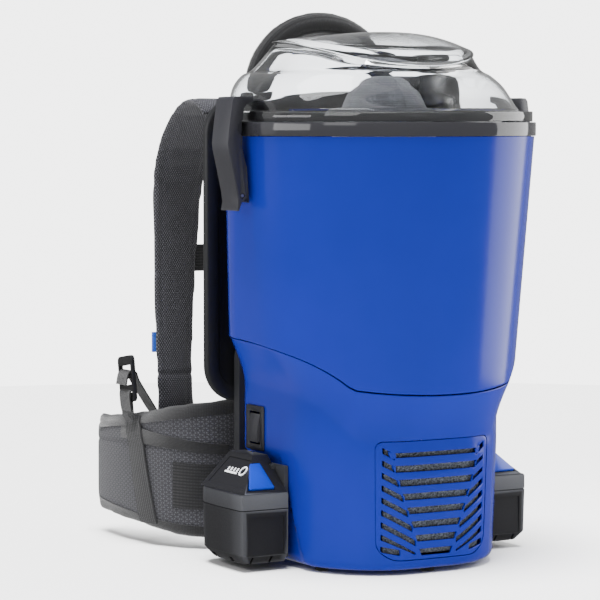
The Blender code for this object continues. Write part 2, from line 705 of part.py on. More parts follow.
def strap_route():
    """A shoulder strap's middle line in Y and Z: up off the plate, over the shoulder, down to the belt."""
    return [(0.1275, 0.4470), (0.1420, 0.4600), (0.1650, 0.4640), (0.1880, 0.4570), (0.2090, 0.4410),
            (0.2270, 0.4200), (0.2380, 0.3940), (0.2430, 0.3600), (0.2450, 0.3100), (0.2440, 0.2600),
            (0.2400, 0.2100), (0.2340, 0.1600)]


def shoulder_strap(side):
    """A padded strap that narrows towards the belt."""
    route = strap_route()
    path = []
    for i, (y, z) in enumerate(route):
        before, after = route[max(i - 1, 0)], route[min(i + 1, len(route) - 1)]
        along = Vector((0, after[0] - before[0], after[1] - before[1])).normalized()
        share = i / (len(route) - 1)
        outer, inner = 0.1300, 0.0700 + 0.0230 * max(0.0, (share - 0.45) / 0.55)
        centre = (side * (outer + inner) / 2, y, z)
        half_thick = Vector((0, along.z, -along.y)) * STRAP_THICK / 2
        path.append((centre, (side * (outer - inner) / 2, 0, 0), half_thick))
    return band(f"shoulder_strap_{SIDE_NAME[side]}", path, "black_mesh")


def sternum_strap():
    """The webbing across the chest between the shoulder straps."""
    path = [((x, 0.2513, 0.2970), (0, 0, 0.0145), (0, 0.0010, 0)) for x in (-0.100, -0.034)]
    band("sternum_strap_left", path, "black_webbing")
    path = [((-x, y, z), w, t) for (x, y, z), w, t in reversed(path)]
    band("sternum_strap_right", path, "black_webbing")
    body = box((-0.0335, 0.2480, 0.2790), (0.0335, 0.2560, 0.3150))
    buckle = add("sternum_buckle", body, "black_moulding")
    bevel = buckle.modifiers.new("edges", "BEVEL")
    bevel.width = 0.003
    bevel.segments = 2
    return buckle


def lumbar_pad():
    """The pad of the waist belt that lies across the small of the back."""
    y = PLATE_Y[1] + 0.0010 + BELT_THICK / 2
    half_high, half_thick = (0, 0, 0.0710), (0, BELT_THICK / 2, 0)
    path = [((x, y, 0.0830), half_high, half_thick) for x in (-0.0975, -0.0500, 0.0, 0.0500, 0.0975)]
    return band("lumbar_pad", path, "grey_mesh")


def wing_route():
    """A belt wing's middle line from above, for the right side, with its half height and middle height."""
    return [(0.1004, 0.1295, 0.0710, 0.0830), (0.1200, 0.1360, 0.0700, 0.0825),
            (0.1380, 0.1500, 0.0680, 0.0815), (0.1510, 0.1720, 0.0650, 0.0805),
            (0.1590, 0.2000, 0.0610, 0.0795), (0.1630, 0.2300, 0.0570, 0.0785),
            (0.1640, 0.2600, 0.0540, 0.0775), (0.1620, 0.2900, 0.0510, 0.0765),
            (0.1575, 0.3180, 0.0490, 0.0760)]


def wing_frame(side, index):
    """Centre, forward direction and outward direction of the belt wing at a row of its route."""
    route = wing_route()
    x, y, half, mid = route[index]
    bx, by = route[max(index - 1, 0)][:2]
    ax, ay = route[min(index + 1, len(route) - 1)][:2]
    along = Vector((ax - bx, ay - by, 0)).normalized()
    outward = Vector((along.y, -along.x, 0))
    mirrored = Vector((side * outward.x, outward.y, 0))
    return Vector((side * x, y, mid)), mirrored, half


def belt_wing(side):
    """One padded wing of the waist belt, from the lumbar pad round the hip."""
    path = []
    for i in range(len(wing_route())):
        centre, outward, half = wing_frame(side, i)
        path.append((centre, (0, 0, half), outward * BELT_THICK / 2))
    return band(f"belt_wing_{SIDE_NAME[side]}", path, "grey_mesh")


def belt_strap(side):
    """The webbing sewn down the outside of a belt wing, which carries the buckle on its upper end."""
    centre, outward, half = wing_frame(side, 5)
    along = Vector((-outward.y, outward.x, 0))
    offset = outward * (BELT_THICK / 2 + 0.0018)
    path = [(centre + offset + Vector((0, 0, z)), along * 0.0130, outward * 0.0010)
            for z in (-half + 0.004, -0.020, 0.020, half + 0.012)]
    return band(f"belt_strap_{SIDE_NAME[side]}", path, "black_webbing")


def belt_buckle(side):
    """The buckle that joins the shoulder strap's webbing to the belt."""
    centre, outward, half = wing_frame(side, 5)
    along = Vector((-outward.y, outward.x, 0))
    middle = centre + outward * (BELT_THICK / 2 + 0.0018) + Vector((0, 0, half + 0.0390))
    corners = rounded(0.0165, 0.0260, 0.0050, 3)
    rings = [[middle + along * u + Vector((0, 0, v)) + outward * t for u, v in corners]
             for t in (-0.003, 0.003)]
    frame = add(f"belt_buckle_{SIDE_NAME[side]}", loft(rings), "black_moulding")
    holes = []
    for low, high in ((-0.0210, -0.0130), (0.0020, 0.0090)):
        edge = [(-0.0120, low), (0.0120, low), (0.0120, high), (-0.0120, high)]
        holes.append(loft([[middle + along * u + Vector((0, 0, v)) + outward * t for u, v in edge]
                           for t in (-0.01, 0.01)]))
    return cut(frame, *holes)


def feet():
    """Five rubber feet under the base."""
    places = ((-0.0900, -0.0400), (0.0900, -0.0400), (0.0, -0.0930), (-0.0880, 0.0780), (0.0880, 0.0780))
    for number, (x, y) in enumerate(places, 1):
        rings = [[(x + px, y + py, z) for px, py in circle(r, 16)]
                 for r, z in ((0.0060, 0.0), (0.0070, 0.0010), (0.0070, BASE_Z - GAP))]
        add(f"foot_{number}", loft(rings), "black_rubber")


# ---------------------------------------------------------------- the whole
for old in list(bpy.data.objects):
    bpy.data.objects.remove(old, do_unlink=True)

AXIS = bpy.data.objects.new("tank_axis", None)
AXIS.location.y = TANK_AXIS_Y
bpy.context.scene.collection.objects.link(AXIS)

tank()
base_housing()
rear_cover()
tank_rim()
lid()
lid_seal()
hose_inlet()
hose_swivel()
cone_filter()
filter_ring()
motor_parts()
exhaust_foam()
exhaust_grille()
switch()
control_board()
back_plate()
plate_mount()
carry_handle()
sternum_strap()
lumbar_pad()
feet()
for hand in SIDES:
    latch(hand)
    latch_bracket(hand)
    latch_pin(hand)
    battery_dock(hand)
    battery(hand)
    plate_screw(hand)
    handle_foot(hand)
    shoulder_strap(hand)
    belt_wing(hand)
    belt_strap(hand)
    belt_buckle(hand)
bpy.context.view_layer.update()
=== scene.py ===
# %% [markdown]
# # A battery backpack vacuum cleaner
#
# The real machine is a blue moulded dust tank on a blue motor base. A clear lid clips over the tank, two
# batteries slide onto the base, and a back plate carries shoulder straps and a waist belt. Its working
# parts already exist as solids with joints. This lesson puts the looks around them: finer shells,
# glass-clear plastic, and padded cloth that is inflated by simulation.

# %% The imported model
import math

import bmesh
import bpy
import numpy as np
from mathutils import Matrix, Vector
from mathutils.bvhtree import BVHTree


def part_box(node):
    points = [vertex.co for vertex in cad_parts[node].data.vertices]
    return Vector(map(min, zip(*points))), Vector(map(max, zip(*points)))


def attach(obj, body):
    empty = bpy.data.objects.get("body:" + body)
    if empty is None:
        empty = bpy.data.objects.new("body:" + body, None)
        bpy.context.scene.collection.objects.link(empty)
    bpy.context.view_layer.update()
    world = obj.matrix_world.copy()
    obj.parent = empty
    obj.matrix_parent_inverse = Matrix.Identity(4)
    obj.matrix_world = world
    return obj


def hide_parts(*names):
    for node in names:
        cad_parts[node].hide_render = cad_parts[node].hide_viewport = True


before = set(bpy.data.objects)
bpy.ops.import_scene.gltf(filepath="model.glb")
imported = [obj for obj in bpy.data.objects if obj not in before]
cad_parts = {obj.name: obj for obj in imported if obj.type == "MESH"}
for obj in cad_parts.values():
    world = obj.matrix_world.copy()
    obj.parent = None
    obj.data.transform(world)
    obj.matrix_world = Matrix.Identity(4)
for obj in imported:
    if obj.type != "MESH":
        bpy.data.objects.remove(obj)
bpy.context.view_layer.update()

MM = 0.001

# %% [markdown]
# The tank, motor and fan share one upright axis, but the model's origin lies under the middle of the
# whole object. All the round shapes are easier to describe from the tank's axis, so every mesh below is
# drawn there, and one helper moves it to its place as it becomes an object.

# %% The tank's axis
AXIS_Y = sum(corner[1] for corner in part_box("motor_can")) / 2
SIDES = {"left": -1, "right": 1}
print("tank axis at y =", round(AXIS_Y, 4))

# %% [markdown]
# ## Camera, floor and light
# A long lens from a little above the rim's height keeps the upright edges nearly parallel, as in a
# catalogue picture. The camera comes first, because it decides what every later step has to show.

# %% Camera
CAMERA_AT = (-1.4188, -2.3798, 0.4400)
CAMERA_TURN = -30.0
CAMERA_DIP = 3.754
camera_data = bpy.data.cameras.new("camera")
camera_data.lens = 160.02
camera_data.sensor_width = 36.0
camera_data.clip_end = 40.0
camera = bpy.data.objects.new("camera", camera_data)
camera.location = CAMERA_AT
camera.rotation_euler = (math.radians(90 - CAMERA_DIP), 0, math.radians(CAMERA_TURN))
bpy.context.scene.collection.objects.link(camera)
bpy.context.scene.camera = camera
print("lens", camera_data.lens)

# %% [markdown]
# Every finish starts from a colour as a designer writes it, in sRGB hex. Blender mixes light in linear
# values, so one function turns the first into the second. A second one adds any node with its settings
# and links, which keeps each material's recipe to a few lines.

# %% Colours and nodes
def linear(hex_colour):
    """Linear RGBA of an sRGB hex colour."""
    parts = [int(hex_colour[i:i + 2], 16) / 255 for i in (1, 3, 5)]
    return (*[c / 12.92 if c <= 0.04045 else ((c + 0.055) / 1.055) ** 2.4 for c in parts], 1.0)


def add_node(material, kind, inputs=(), **settings):
    """A node with its settings; an input is a value or another node's output."""
    node = material.node_tree.nodes.new("ShaderNode" + kind)
    for name, value in settings.items():
        setattr(node, name, value)
    for name, value in dict(inputs).items():
        if isinstance(value, bpy.types.NodeSocket):
            material.node_tree.links.new(value, node.inputs[name])
        else:
            node.inputs[name].default_value = value
    return node


def start_finish(name, **values):
    """A new material with its shader's own values set, and that shader."""
    material = bpy.data.materials.new(name)
    material.use_nodes = True
    shader = material.node_tree.nodes["Principled BSDF"]
    for key, value in values.items():
        shader.inputs[key.replace("_", " ")].default_value = value
    return material, shader


def tint(material, shader, amount, dark, light):
    """The shader's colour, mixed between two hex colours by a pattern."""
    mix = add_node(material, "Mix", {0: amount, 6: linear(dark), 7: linear(light)}, data_type="RGBA")
    material.node_tree.links.new(mix.outputs[2], shader.inputs["Base Color"])
    return mix


def drive(material, shader, name, pattern, low, high):
    """An input of the shader, driven by a pattern between two values."""
    spread = add_node(material, "MapRange", {0: pattern, 3: low, 4: high})
    material.node_tree.links.new(spread.outputs[0], shader.inputs[name])


def emboss(material, shader, pattern, depth_mm, strength=1.0):
    """The relief of a pattern, with its depth in millimetres."""
    bump = add_node(material, "Bump", {"Height": pattern, "Distance": depth_mm * MM, "Strength": strength})
    material.node_tree.links.new(bump.outputs[0], shader.inputs["Normal"])


print("blue starts at", [round(c, 3) for c in linear("#2659B7")])

# %% [markdown]
# ## Plastics
# An injection-moulded part copies the steel of its mould. A polished mould gives ABS a gloss with a faint
# orange peel, a spark-eroded one gives a fine even grain. The tone also drifts a little across a big
# part, and handled edges turn paler. One recipe holds all of this, and each plastic gives its own
# numbers.

# %% Moulded plastics
def moulded(name, dark, light, roughness, grain_mm, relief_mm, ior=1.50, edge=0.0):
    """A moulded plastic: drifting tone, a grain of a given size, and rubbed edges."""
    material, shader = start_finish(name, IOR=ior)
    place = add_node(material, "TexCoord").outputs["Object"]
    drift = add_node(material, "TexNoise", {"Vector": place, "Scale": 1 / 0.07, "Detail": 2.0}).outputs[0]
    mix = tint(material, shader, drift, dark, light)
    grain = add_node(material, "TexNoise", {"Vector": place, "Scale": 1 / (grain_mm * MM), "Detail": 3.0})
    drive(material, shader, "Roughness", grain.outputs[0], roughness * 0.8, roughness * 1.25)
    emboss(material, shader, grain.outputs[0], relief_mm, 0.5)
    if edge:
        sharp = add_node(material, "NewGeometry").outputs["Pointiness"]
        worn = add_node(material, "MapRange", {0: sharp, 1: 0.53, 2: 0.62, 3: 0.0, 4: edge})
        pale = add_node(material, "Mix", {0: worn.outputs[0], 6: mix.outputs[2], 7: linear("#8C8F96")},
                        data_type="RGBA")
        material.node_tree.links.new(pale.outputs[2], shader.inputs["Base Color"])
    return material


# Gloss ABS from a polished mould: sharp reflections that the 12 mm peel only just stirs.
BLUE = moulded("blue_abs_polished", "#131F7A", "#172383", 0.18, 12.0, 0.010, 1.54)
BLUE.node_tree.nodes["Principled BSDF"].inputs["Specular IOR Level"].default_value = 0.16
# The same ABS with an eroded face, on the release buttons: a 0.6 mm grain, drawn at 1.2, dulls it.
BUTTON_BLUE = moulded("blue_abs_button", "#0E2C94", "#1233A0", 0.34, 1.2, 0.010, 1.54)
# Nylon with a 0.4 mm grain, drawn at 1.2 mm because finer doesn't show: an even soft black.
BLACK = moulded("black_nylon_grained", "#0A0A0C", "#0E0E10", 0.46, 1.2, 0.015, edge=0.10)
# A paler grained nylon, for the latches and the switch: it shows a broad grey sheen.
DARK_GREY = moulded("grey_nylon_grained", "#202025", "#25252A", 0.42, 1.2, 0.012, edge=0.25)
# Glass-filled nylon on the batteries: 0.8 mm fibres, drawn at 1.6 so that they show, mottle the face.
BATTERY = moulded("glass_filled_nylon", "#151518", "#19191C", 0.56, 1.6, 0.020, edge=0.20)
# Polished polypropylene, the rim: nearly a mirror at a low angle.
GLOSS = moulded("grey_polypropylene_polished", "#26262A", "#2A2A2D", 0.07, 14.0, 0.004, 1.49)
BATTERY.node_tree.nodes["Principled BSDF"].inputs["Specular IOR Level"].default_value = 0.30
# Moulded rubber, feet and seal: matt, with a sandy face.
RUBBER = moulded("black_rubber_moulded", "#0E0E0F", "#131314", 0.78, 1.5, 0.030, 1.52)
# White ABS let into the battery caps, for the charge marks.
MARKS = moulded("white_abs_inlay", "#E4E6EA", "#EEF0F2", 0.35, 1.0, 0.005)
print(len(bpy.data.materials), "materials so far")

# %% [markdown]
# Polycarbonate is cast clear, so light goes through and bends by its index of 1.585. Two things keep it
# from looking like nothing at all: hairline wiping scratches, which only blur the gloss, and the walls'
# own thickness, which the mesh gives.

# %% Clear polycarbonate
CLEAR, shader = start_finish("clear_polycarbonate_cast", IOR=1.585, Transmission_Weight=1.0)
shader.inputs["Base Color"].default_value = linear("#F6F8FA")
place = add_node(CLEAR, "TexCoord").outputs["Object"]
stretched = add_node(CLEAR, "Mapping", {"Vector": place, "Scale": (900.0, 60.0, 60.0)}).outputs[0]
hairlines = add_node(CLEAR, "TexNoise", {"Vector": stretched, "Scale": 1.0, "Detail": 2.0}).outputs[0]
drive(CLEAR, shader, "Roughness", hairlines, 0.0, 0.03)
print("lid scratches are about", round(1000 / 900, 1), "mm apart")

# %% [markdown]
# ## Metals
# Turned steel and cast aluminium keep the default index, because metallic already says what they are. The
# tool leaves rings about the shaft, so the roughness is streaked around it.

# %% Steel, aluminium and the circuit board
def metal(name, dark, light, roughness, streaks):
    """A metal whose tool marks are streaks, stretched by the given scales."""
    material, shader = start_finish(name, Metallic=1.0)
    place = add_node(material, "TexCoord").outputs["Object"]
    pulled = add_node(material, "Mapping", {"Vector": place, "Scale": streaks}).outputs[0]
    marks = add_node(material, "TexNoise", {"Vector": pulled, "Scale": 1.0, "Detail": 3.0}).outputs[0]
    tint(material, shader, marks, dark, light)
    drive(material, shader, "Roughness", marks, roughness * 0.7, roughness * 1.4)
    emboss(material, shader, marks, 0.02, 0.4)
    return material


# Ground steel, motor can and pins: fine level rings, so the streaks are tight in Z only.
STEEL = metal("steel_ground", "#A9ABAE", "#C6C8CA", 0.28, (60.0, 60.0, 1800.0))
# Cast aluminium, the fan: a sandier, paler metal with no direction.
ALUMINIUM = metal("aluminium_cast", "#B5B7BA", "#CCCDCF", 0.42, (700.0, 700.0, 700.0))

# A glass-fibre board under green solder mask: copper tracks 2 mm apart show as a raised lighter grid.
BOARD, shader = start_finish("circuit_board_green", Roughness=0.4)
place = add_node(BOARD, "TexCoord").outputs["Object"]
brick = {"Vector": place, "Scale": 1 / 0.008, "Mortar Size": 0.05}
tracks = add_node(BOARD, "TexBrick", brick).outputs["Fac"]
tint(BOARD, shader, tracks, "#0B4A2A", "#1E7A48")
emboss(BOARD, shader, tracks, 0.05)
print("metals:", STEEL.name, ALUMINIUM.name)

# %% [markdown]
# ## Cloth
# Cloth has a direction, so its pattern follows two distances that each soft mesh will carry at every
# point: how far along the band it is, and how far across. Threads are bands of light and dark at an angle
# and a pitch, and crossing bands multiply into the knots of a knit. A little sheen stands for the loose
# fibres.

# %% Woven and knitted cloth
def cloth(name, dark, light, threads, relief_mm, sheen=0.10, fuzz_mm=0.8):
    """A cloth of crossing threads, each an (angle in degrees, pitch in mm)."""
    material, shader = start_finish(name, IOR=1.45, Sheen_Weight=sheen, Sheen_Roughness=0.5)
    place = add_node(material, "Attribute", attribute_name="cloth").outputs["Vector"]
    pattern = None
    for angle, pitch in threads:
        turned = add_node(material, "Mapping", {"Vector": place, "Rotation": (0, 0, math.radians(angle))})
        band = add_node(material, "TexWave", {"Vector": turned.outputs[0],
                                              "Scale": math.pi / (10 * pitch * MM)}).outputs["Fac"]
        if pattern:
            band = add_node(material, "Math", {0: pattern, 1: band}, operation="MULTIPLY").outputs[0]
        pattern = band
    fuzz = add_node(material, "TexNoise", {"Vector": place, "Scale": 1 / (fuzz_mm * MM), "Detail": 2.0})
    rough = add_node(material, "Math", {0: pattern, 1: fuzz.outputs[0]}, operation="ADD").outputs[0]
    shown = add_node(material, "MapRange", {0: rough, 1: 0.35, 2: 1.2}).outputs[0]
    tint(material, shader, shown, dark, light)
    drive(material, shader, "Roughness", shown, 0.95, 0.75)
    emboss(material, shader, rough, relief_mm)
    return material


# Polyester spacer mesh, the straps: a knit of slanting cells, really 2 mm, drawn at 2.2 so that they show.
STRAP_MESH = cloth("polyester_spacer_mesh", "#070709", "#4B4B51", ((58, 2.2), (-58, 2.2)), 0.4)
# Polyester honeycomb knit, the belt's face: three thread directions leave six-sided cells 4 mm wide.
BELT_MESH = cloth("polyester_honeycomb_knit", "#151518", "#515157", ((0, 4.0), (60, 4.0), (120, 4.0)), 0.5)
# Nylon webbing: ribs across the band, 1.6 mm apart, and a faint warp along it.
WEBBING = cloth("nylon_webbing_woven", "#0B0B0C", "#1D1D20", ((0, 1.6), (90, 3.2)), 0.3, 0.2)
# Plain polyester, the bindings and the handle: a close weave that shows as a soft dull grey.
PLAIN_CLOTH = cloth("polyester_plain_weave", "#0B0B0C", "#18181B", ((0, 1.4), (90, 1.4)), 0.2, 0.3)
# Polyester filter felt: fibres pressed flat with a calender print, really 1.2 mm, drawn at 1.6.
FILTER_CLOTH = cloth("polyester_filter_felt", "#3C3D43", "#66676E", ((0, 1.6), (90, 1.6)), 0.15, 0.4, 2.0)
# The blue tab on the strap's edge is the webbing in the tank's colour.
BLUE_TAPE = cloth("blue_nylon_tape", "#163E9A", "#2F62C8", ((0, 1.2), (90, 1.2)), 0.2)
CLOTHS = (STRAP_MESH, BELT_MESH, WEBBING, PLAIN_CLOTH, FILTER_CLOTH, BLUE_TAPE)
print("cloths:", [made.name for made in CLOTHS])

# %% [markdown]
# Open-cell foam is a froth of burst bubbles. Voronoi cells give the bubbles, dark in their middles and
# pale on their walls. The real cells are about 1 mm, drawn at 2.2 mm so that they read through the
# grille's slots.

# %% Open-cell foam
FOAM, shader = start_finish("polyurethane_foam_open_cell", IOR=1.45)
place = add_node(FOAM, "TexCoord").outputs["Object"]
FOAM_CELL_MM = 2.2
froth = {"Vector": place, "Scale": 1 / (FOAM_CELL_MM * MM)}
bubbles = add_node(FOAM, "TexVoronoi", froth).outputs["Distance"]
tint(FOAM, shader, bubbles, "#101216", "#565C66")
drive(FOAM, shader, "Roughness", bubbles, 1.0, 0.8)
emboss(FOAM, shader, bubbles, 1.0)
print("foam cells", FOAM_CELL_MM, "mm")

# %% [markdown]
# The floor is one broad disc of matt white paint, so no edge of it shows. A wide, soft sun overhead
# lights it to the horizon and barely touches the upright walls. Neither is mirrored in glossy faces. The
# world stands for the studio's walls: dim where it lights and is mirrored, so that the blue stays deep,
# and white where it is seen directly or through the clear lid. Soft boxes then draw the form: a key on
# the left, and a tall strip on the right that runs down the tank as one bright reflection.

# %% Floor and lights
FLOOR_R = 1.8
floor_mesh = bmesh.new()
rim_points = [floor_mesh.verts.new((FLOOR_R * math.cos(a), FLOOR_R * math.sin(a), -0.0005))
              for a in np.linspace(0, 2 * math.pi, 96, endpoint=False)]
floor_mesh.faces.new(rim_points)
floor_data = bpy.data.meshes.new("floor")
floor_mesh.to_mesh(floor_data)
floor = bpy.data.objects.new("floor", floor_data)
bpy.context.scene.collection.objects.link(floor)
PAINT, shader = start_finish("white_matt_paint_rolled", IOR=1.40)
place = add_node(PAINT, "TexCoord").outputs["Object"]
nap = add_node(PAINT, "TexNoise", {"Vector": place, "Scale": 1 / 0.004}).outputs[0]
tint(PAINT, shader, nap, "#EEEEEE", "#F4F4F4")
drive(PAINT, shader, "Roughness", nap, 0.85, 0.95)
floor_data.materials.append(PAINT)
floor.visible_glossy = False

WHITE_SEEN, WALLS = 4.6, 0.40
world = bpy.data.worlds.new("studio_walls")
bpy.context.scene.world = world
world.use_nodes = True
ray = world.node_tree.nodes.new("ShaderNodeLightPath")
bounced, through, seen = [world.node_tree.nodes.new("ShaderNodeMath") for n in range(3)]
through.operation = "SUBTRACT"
through.use_clamp = True
seen.operation = "MAXIMUM"
strength = world.node_tree.nodes.new("ShaderNodeMapRange")
strength.inputs["To Min"].default_value = WALLS
strength.inputs["To Max"].default_value = WHITE_SEEN
background = world.node_tree.nodes["Background"]
background.inputs["Color"].default_value = (1.0, 1.0, 1.0, 1.0)
for source, target in ((ray.outputs["Is Camera Ray"], seen.inputs[0]),
                       (ray.outputs["Is Transmission Ray"], through.inputs[0]),
                       (ray.outputs["Diffuse Depth"], bounced.inputs[0]),
                       (ray.outputs["Glossy Depth"], bounced.inputs[1]),
                       (bounced.outputs[0], through.inputs[1]),
                       (through.outputs[0], seen.inputs[1]),
                       (seen.outputs[0], strength.inputs["Value"]),
                       (strength.outputs[0], background.inputs["Strength"])):
    world.node_tree.links.new(source, target)

sun_data = bpy.data.lights.new("overhead_sun", "SUN")
sun_data.energy = 13.5
sun_data.angle = math.radians(30)
sun = bpy.data.objects.new("overhead_sun", sun_data)
sun.rotation_euler = (math.radians(5), math.radians(-7), 0)
sun.visible_glossy = False
bpy.context.scene.collection.objects.link(sun)


def soft_box(name, at, aim, width, height, watts):
    """A flat rectangular light turned to face a point."""
    data = bpy.data.lights.new(name, "AREA")
    data.shape = "RECTANGLE"
    data.size = width
    data.size_y = height
    data.energy = watts
    box = bpy.data.objects.new(name, data)
    box.location = at
    box.rotation_euler = (Vector(at) - Vector(aim)).to_track_quat("Z", "Y").to_euler()
    box.visible_camera = False
    box.visible_transmission = False
    bpy.context.scene.collection.objects.link(box)
    return box


MIDDLE = (0.0, -0.05, 0.30)
soft_box("key_left", (-1.7, -1.1, 1.2), MIDDLE, 0.9, 0.9, 8)
soft_box("strip_right", (0.62, -0.26, 0.40), MIDDLE, 0.50, 0.70, 5.5)
soft_box("rim_glint", (-0.73, -0.04, 0.49), (0.0, -0.04, 0.44), 0.40, 0.16, 1.0)
soft_box("fill_left", (-1.5, 0.85, 0.7), MIDDLE, 0.7, 1.2, 1.5)

# %% [markdown]
# ## Making pieces
# Nearly everything here is a loft: rings of points in order, joined by four-sided faces. A few small
# helpers make rings, join them, and turn the result into an object that rides on a body of the model.

# %% Lofts and pieces
def loft(rings, closed=False):
    """A mesh through rings of equal length: closed on itself, or capped at both ends."""
    bm = bmesh.new()
    rows = [[bm.verts.new(point) for point in ring] for ring in rings]
    for low, high in list(zip(rows, rows[1:])) + ([(rows[-1], rows[0])] if closed else []):
        for i in range(len(low)):
            j = (i + 1) % len(low)
            bm.faces.new((low[i], low[j], high[j], high[i]))
    if not closed:
        bm.faces.new(rows[0])
        bm.faces.new(rows[-1])
    return bm


def piece(name, bm, material, body, stands_for=(), smooth=40):
    """A named piece from a mesh drawn about the tank's axis, moved to its place and tied to a body."""
    bmesh.ops.recalc_face_normals(bm, faces=bm.faces[:])
    bmesh.ops.translate(bm, vec=(0, AXIS_Y, 0), verts=bm.verts[:])
    mesh = bpy.data.meshes.new(name)
    bm.to_mesh(mesh)
    bm.free()
    mesh.shade_smooth()
    mesh.set_sharp_from_angle(angle=math.radians(smooth))
    made = bpy.data.objects.new(name, mesh)
    bpy.context.scene.collection.objects.link(made)
    mesh.materials.append(material)
    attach(made, body)
    if stands_for:
        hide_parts(*stands_for)
    return made


def apply_modifiers(made):
    """Turns what a piece's modifiers give into its own mesh."""
    graph = bpy.context.evaluated_depsgraph_get()
    mesh = bpy.data.meshes.new_from_object(made.evaluated_get(graph))
    made.modifiers.clear()
    made.data = mesh
    return made


def soften(made, width_mm, segments=3, angle=35):
    """Rounds a piece's sharp edges, as a mould's own edges do, and applies it."""
    bevel = made.modifiers.new("rounded edges", "BEVEL")
    bevel.width = width_mm * MM
    bevel.segments = segments
    bevel.limit_method = "ANGLE"
    bevel.angle_limit = math.radians(angle)
    bevel.harden_normals = True
    bevel.use_clamp_overlap = True
    apply_modifiers(made)
    made.data.shade_smooth()
    made.data.set_sharp_from_angle(angle=math.radians(50))
    return made


def take_out(made, *shapes):
    """Cuts shapes, drawn about the tank's axis, out of a piece."""
    for number, bm in enumerate(shapes):
        bmesh.ops.recalc_face_normals(bm, faces=bm.faces[:])
        bmesh.ops.translate(bm, vec=(0, AXIS_Y, 0), verts=bm.verts[:])
        mesh = bpy.data.meshes.new(f"{made.name}_cut_{number}")
        bm.to_mesh(mesh)
        bm.free()
        tool = bpy.data.objects.new(mesh.name, mesh)
        bpy.context.scene.collection.objects.link(tool)
        step = made.modifiers.new(tool.name, "BOOLEAN")
        step.operation = "DIFFERENCE"
        step.solver = "EXACT"
        step.object = tool
        apply_modifiers(made)
        bpy.data.objects.remove(tool, do_unlink=True)
        bpy.data.meshes.remove(mesh)
    return made


def box(low, high):
    """A block between two corners, as a cutting shape."""
    (x0, x1), (y0, y1), (z0, z1) = [sorted(pair) for pair in zip(low, high)]
    return loft([[(x0, y0, z), (x1, y0, z), (x1, y1, z), (x0, y1, z)] for z in (z0, z1)])


def prism(outline, axis, low, high):
    """An outline of (u, v) points carried along X, Y or Z."""
    place = {"X": lambda u, v, t: (t, u, v), "Y": lambda u, v, t: (u, t, v), "Z": lambda u, v, t: (u, v, t)}
    return loft([[place[axis](u, v, t) for u, v in outline] for t in (low, high)])


def circle(radius, count=64):
    """Points of a circle about the origin."""
    turns = [2 * math.pi * i / count for i in range(count)]
    return [(radius * math.cos(a), radius * math.sin(a)) for a in turns]


def rounded(half_u, half_v, radius, steps=8, centre=(0.0, 0.0)):
    """Points of a rounded rectangle."""
    points = []
    for quarter, (su, sv) in enumerate(((1, 1), (-1, 1), (-1, -1), (1, -1))):
        for i in range(steps + 1):
            angle = math.radians(90 * (quarter + i / steps))
            points.append((centre[0] + su * (half_u - radius) + radius * math.cos(angle),
                           centre[1] + sv * (half_v - radius) + radius * math.sin(angle)))
    return points


def inwards(ring, distance):
    """A ring of points moved in towards the axis along its own level normals."""
    moved = []
    for i, point in enumerate(ring):
        before, after = Vector(ring[i - 1][:2]), Vector(ring[(i + 1) % len(ring)][:2])
        along = (after - before).normalized()
        moved.append((point[0] - along.y * distance, point[1] + along.x * distance, point[2]))
    return moved


print("helpers ready")

# %% [markdown]
# ## The blue casings
# Seen from above, tank and base are rounded rectangles with very large front corners. The tank tapers
# from its rim to its foot. The base repeats the foot's outline at the seam and draws in below it, so the
# two shells read as one. Each section has the same number of points, so a section at any height is a
# plain blend.

# %% Body sections
RIM_Z, RIM_TOP, DECK_Z, BASE_Z = 0.4290, 0.4430, 0.2400, 0.0040
FLARE = 0.050
GAP, WALL = 0.0003, 0.0030


def section(width, front, back, front_corner, back_corner, bow):
    """A body section from above: a rounded rectangle whose front bows out."""
    corners = ((width, back, back_corner, 0, 12, 12), (-width, back, back_corner, 90, 12, 26),
               (-width, -front, front_corner, 180, 27, 6), (width, -front, front_corner, 270, 27, 26))
    points = []
    for number, (x, y, radius, start, steps, straight) in enumerate(corners):
        arc = []
        for i in range(steps + 1):
            angle = math.radians(start + 90 * i / steps)
            arc.append((x - math.copysign(radius, x) + radius * math.cos(angle),
                        y - math.copysign(radius, y) + radius * math.sin(angle)))
        nx, ny, nr, nstart = corners[(number + 1) % 4][:4]
        angle = math.radians(nstart)
        ahead = (nx - math.copysign(nr, nx) + nr * math.cos(angle),
                 ny - math.copysign(nr, ny) + nr * math.sin(angle))
        for i in range(1, straight):
            t = i / straight
            arc.append((arc[steps][0] * (1 - t) + ahead[0] * t, arc[steps][1] * (1 - t) + ahead[1] * t))
        points += arc
    return [(px, py - bow * (1 - (px / width) ** 2) * (-py / front)) if py < 0 else (px, py)
            for px, py in points]


def mix(a, b, share):
    """A section between two others."""
    return [(ax + (bx - ax) * share, ay + (by - ay) * share) for (ax, ay), (bx, by) in zip(a, b)]


TANK_TOP = section(0.1550, 0.1550, 0.1000, 0.1500, 0.0800, 0.0)
TANK_FOOT = section(0.1360, 0.1350, 0.1000, 0.1300, 0.0460, 0.0)
BASE_WAIST = section(0.1120, 0.1060, 0.1000, 0.0840, 0.0300, 0.0060)
BASE_FOOT = section(0.1090, 0.1030, 0.0980, 0.0840, 0.0280, 0.0060)


def seam_height(point):
    """Height of the seam: low across the front, swept up round the sides."""
    from_front = abs(math.degrees(math.atan2(point[0], -point[1])))
    if from_front < 42:
        return 0.1785 + 0.0060 * (from_front / 42) ** 2
    return 0.1845 + 0.0430 * (1 - math.exp(-(from_front - 42) / 22))


SEAM = [seam_height(point) for point in TANK_FOOT]
print(len(SEAM), "points a section; the seam runs from", min(SEAM), "to", round(max(SEAM), 4))

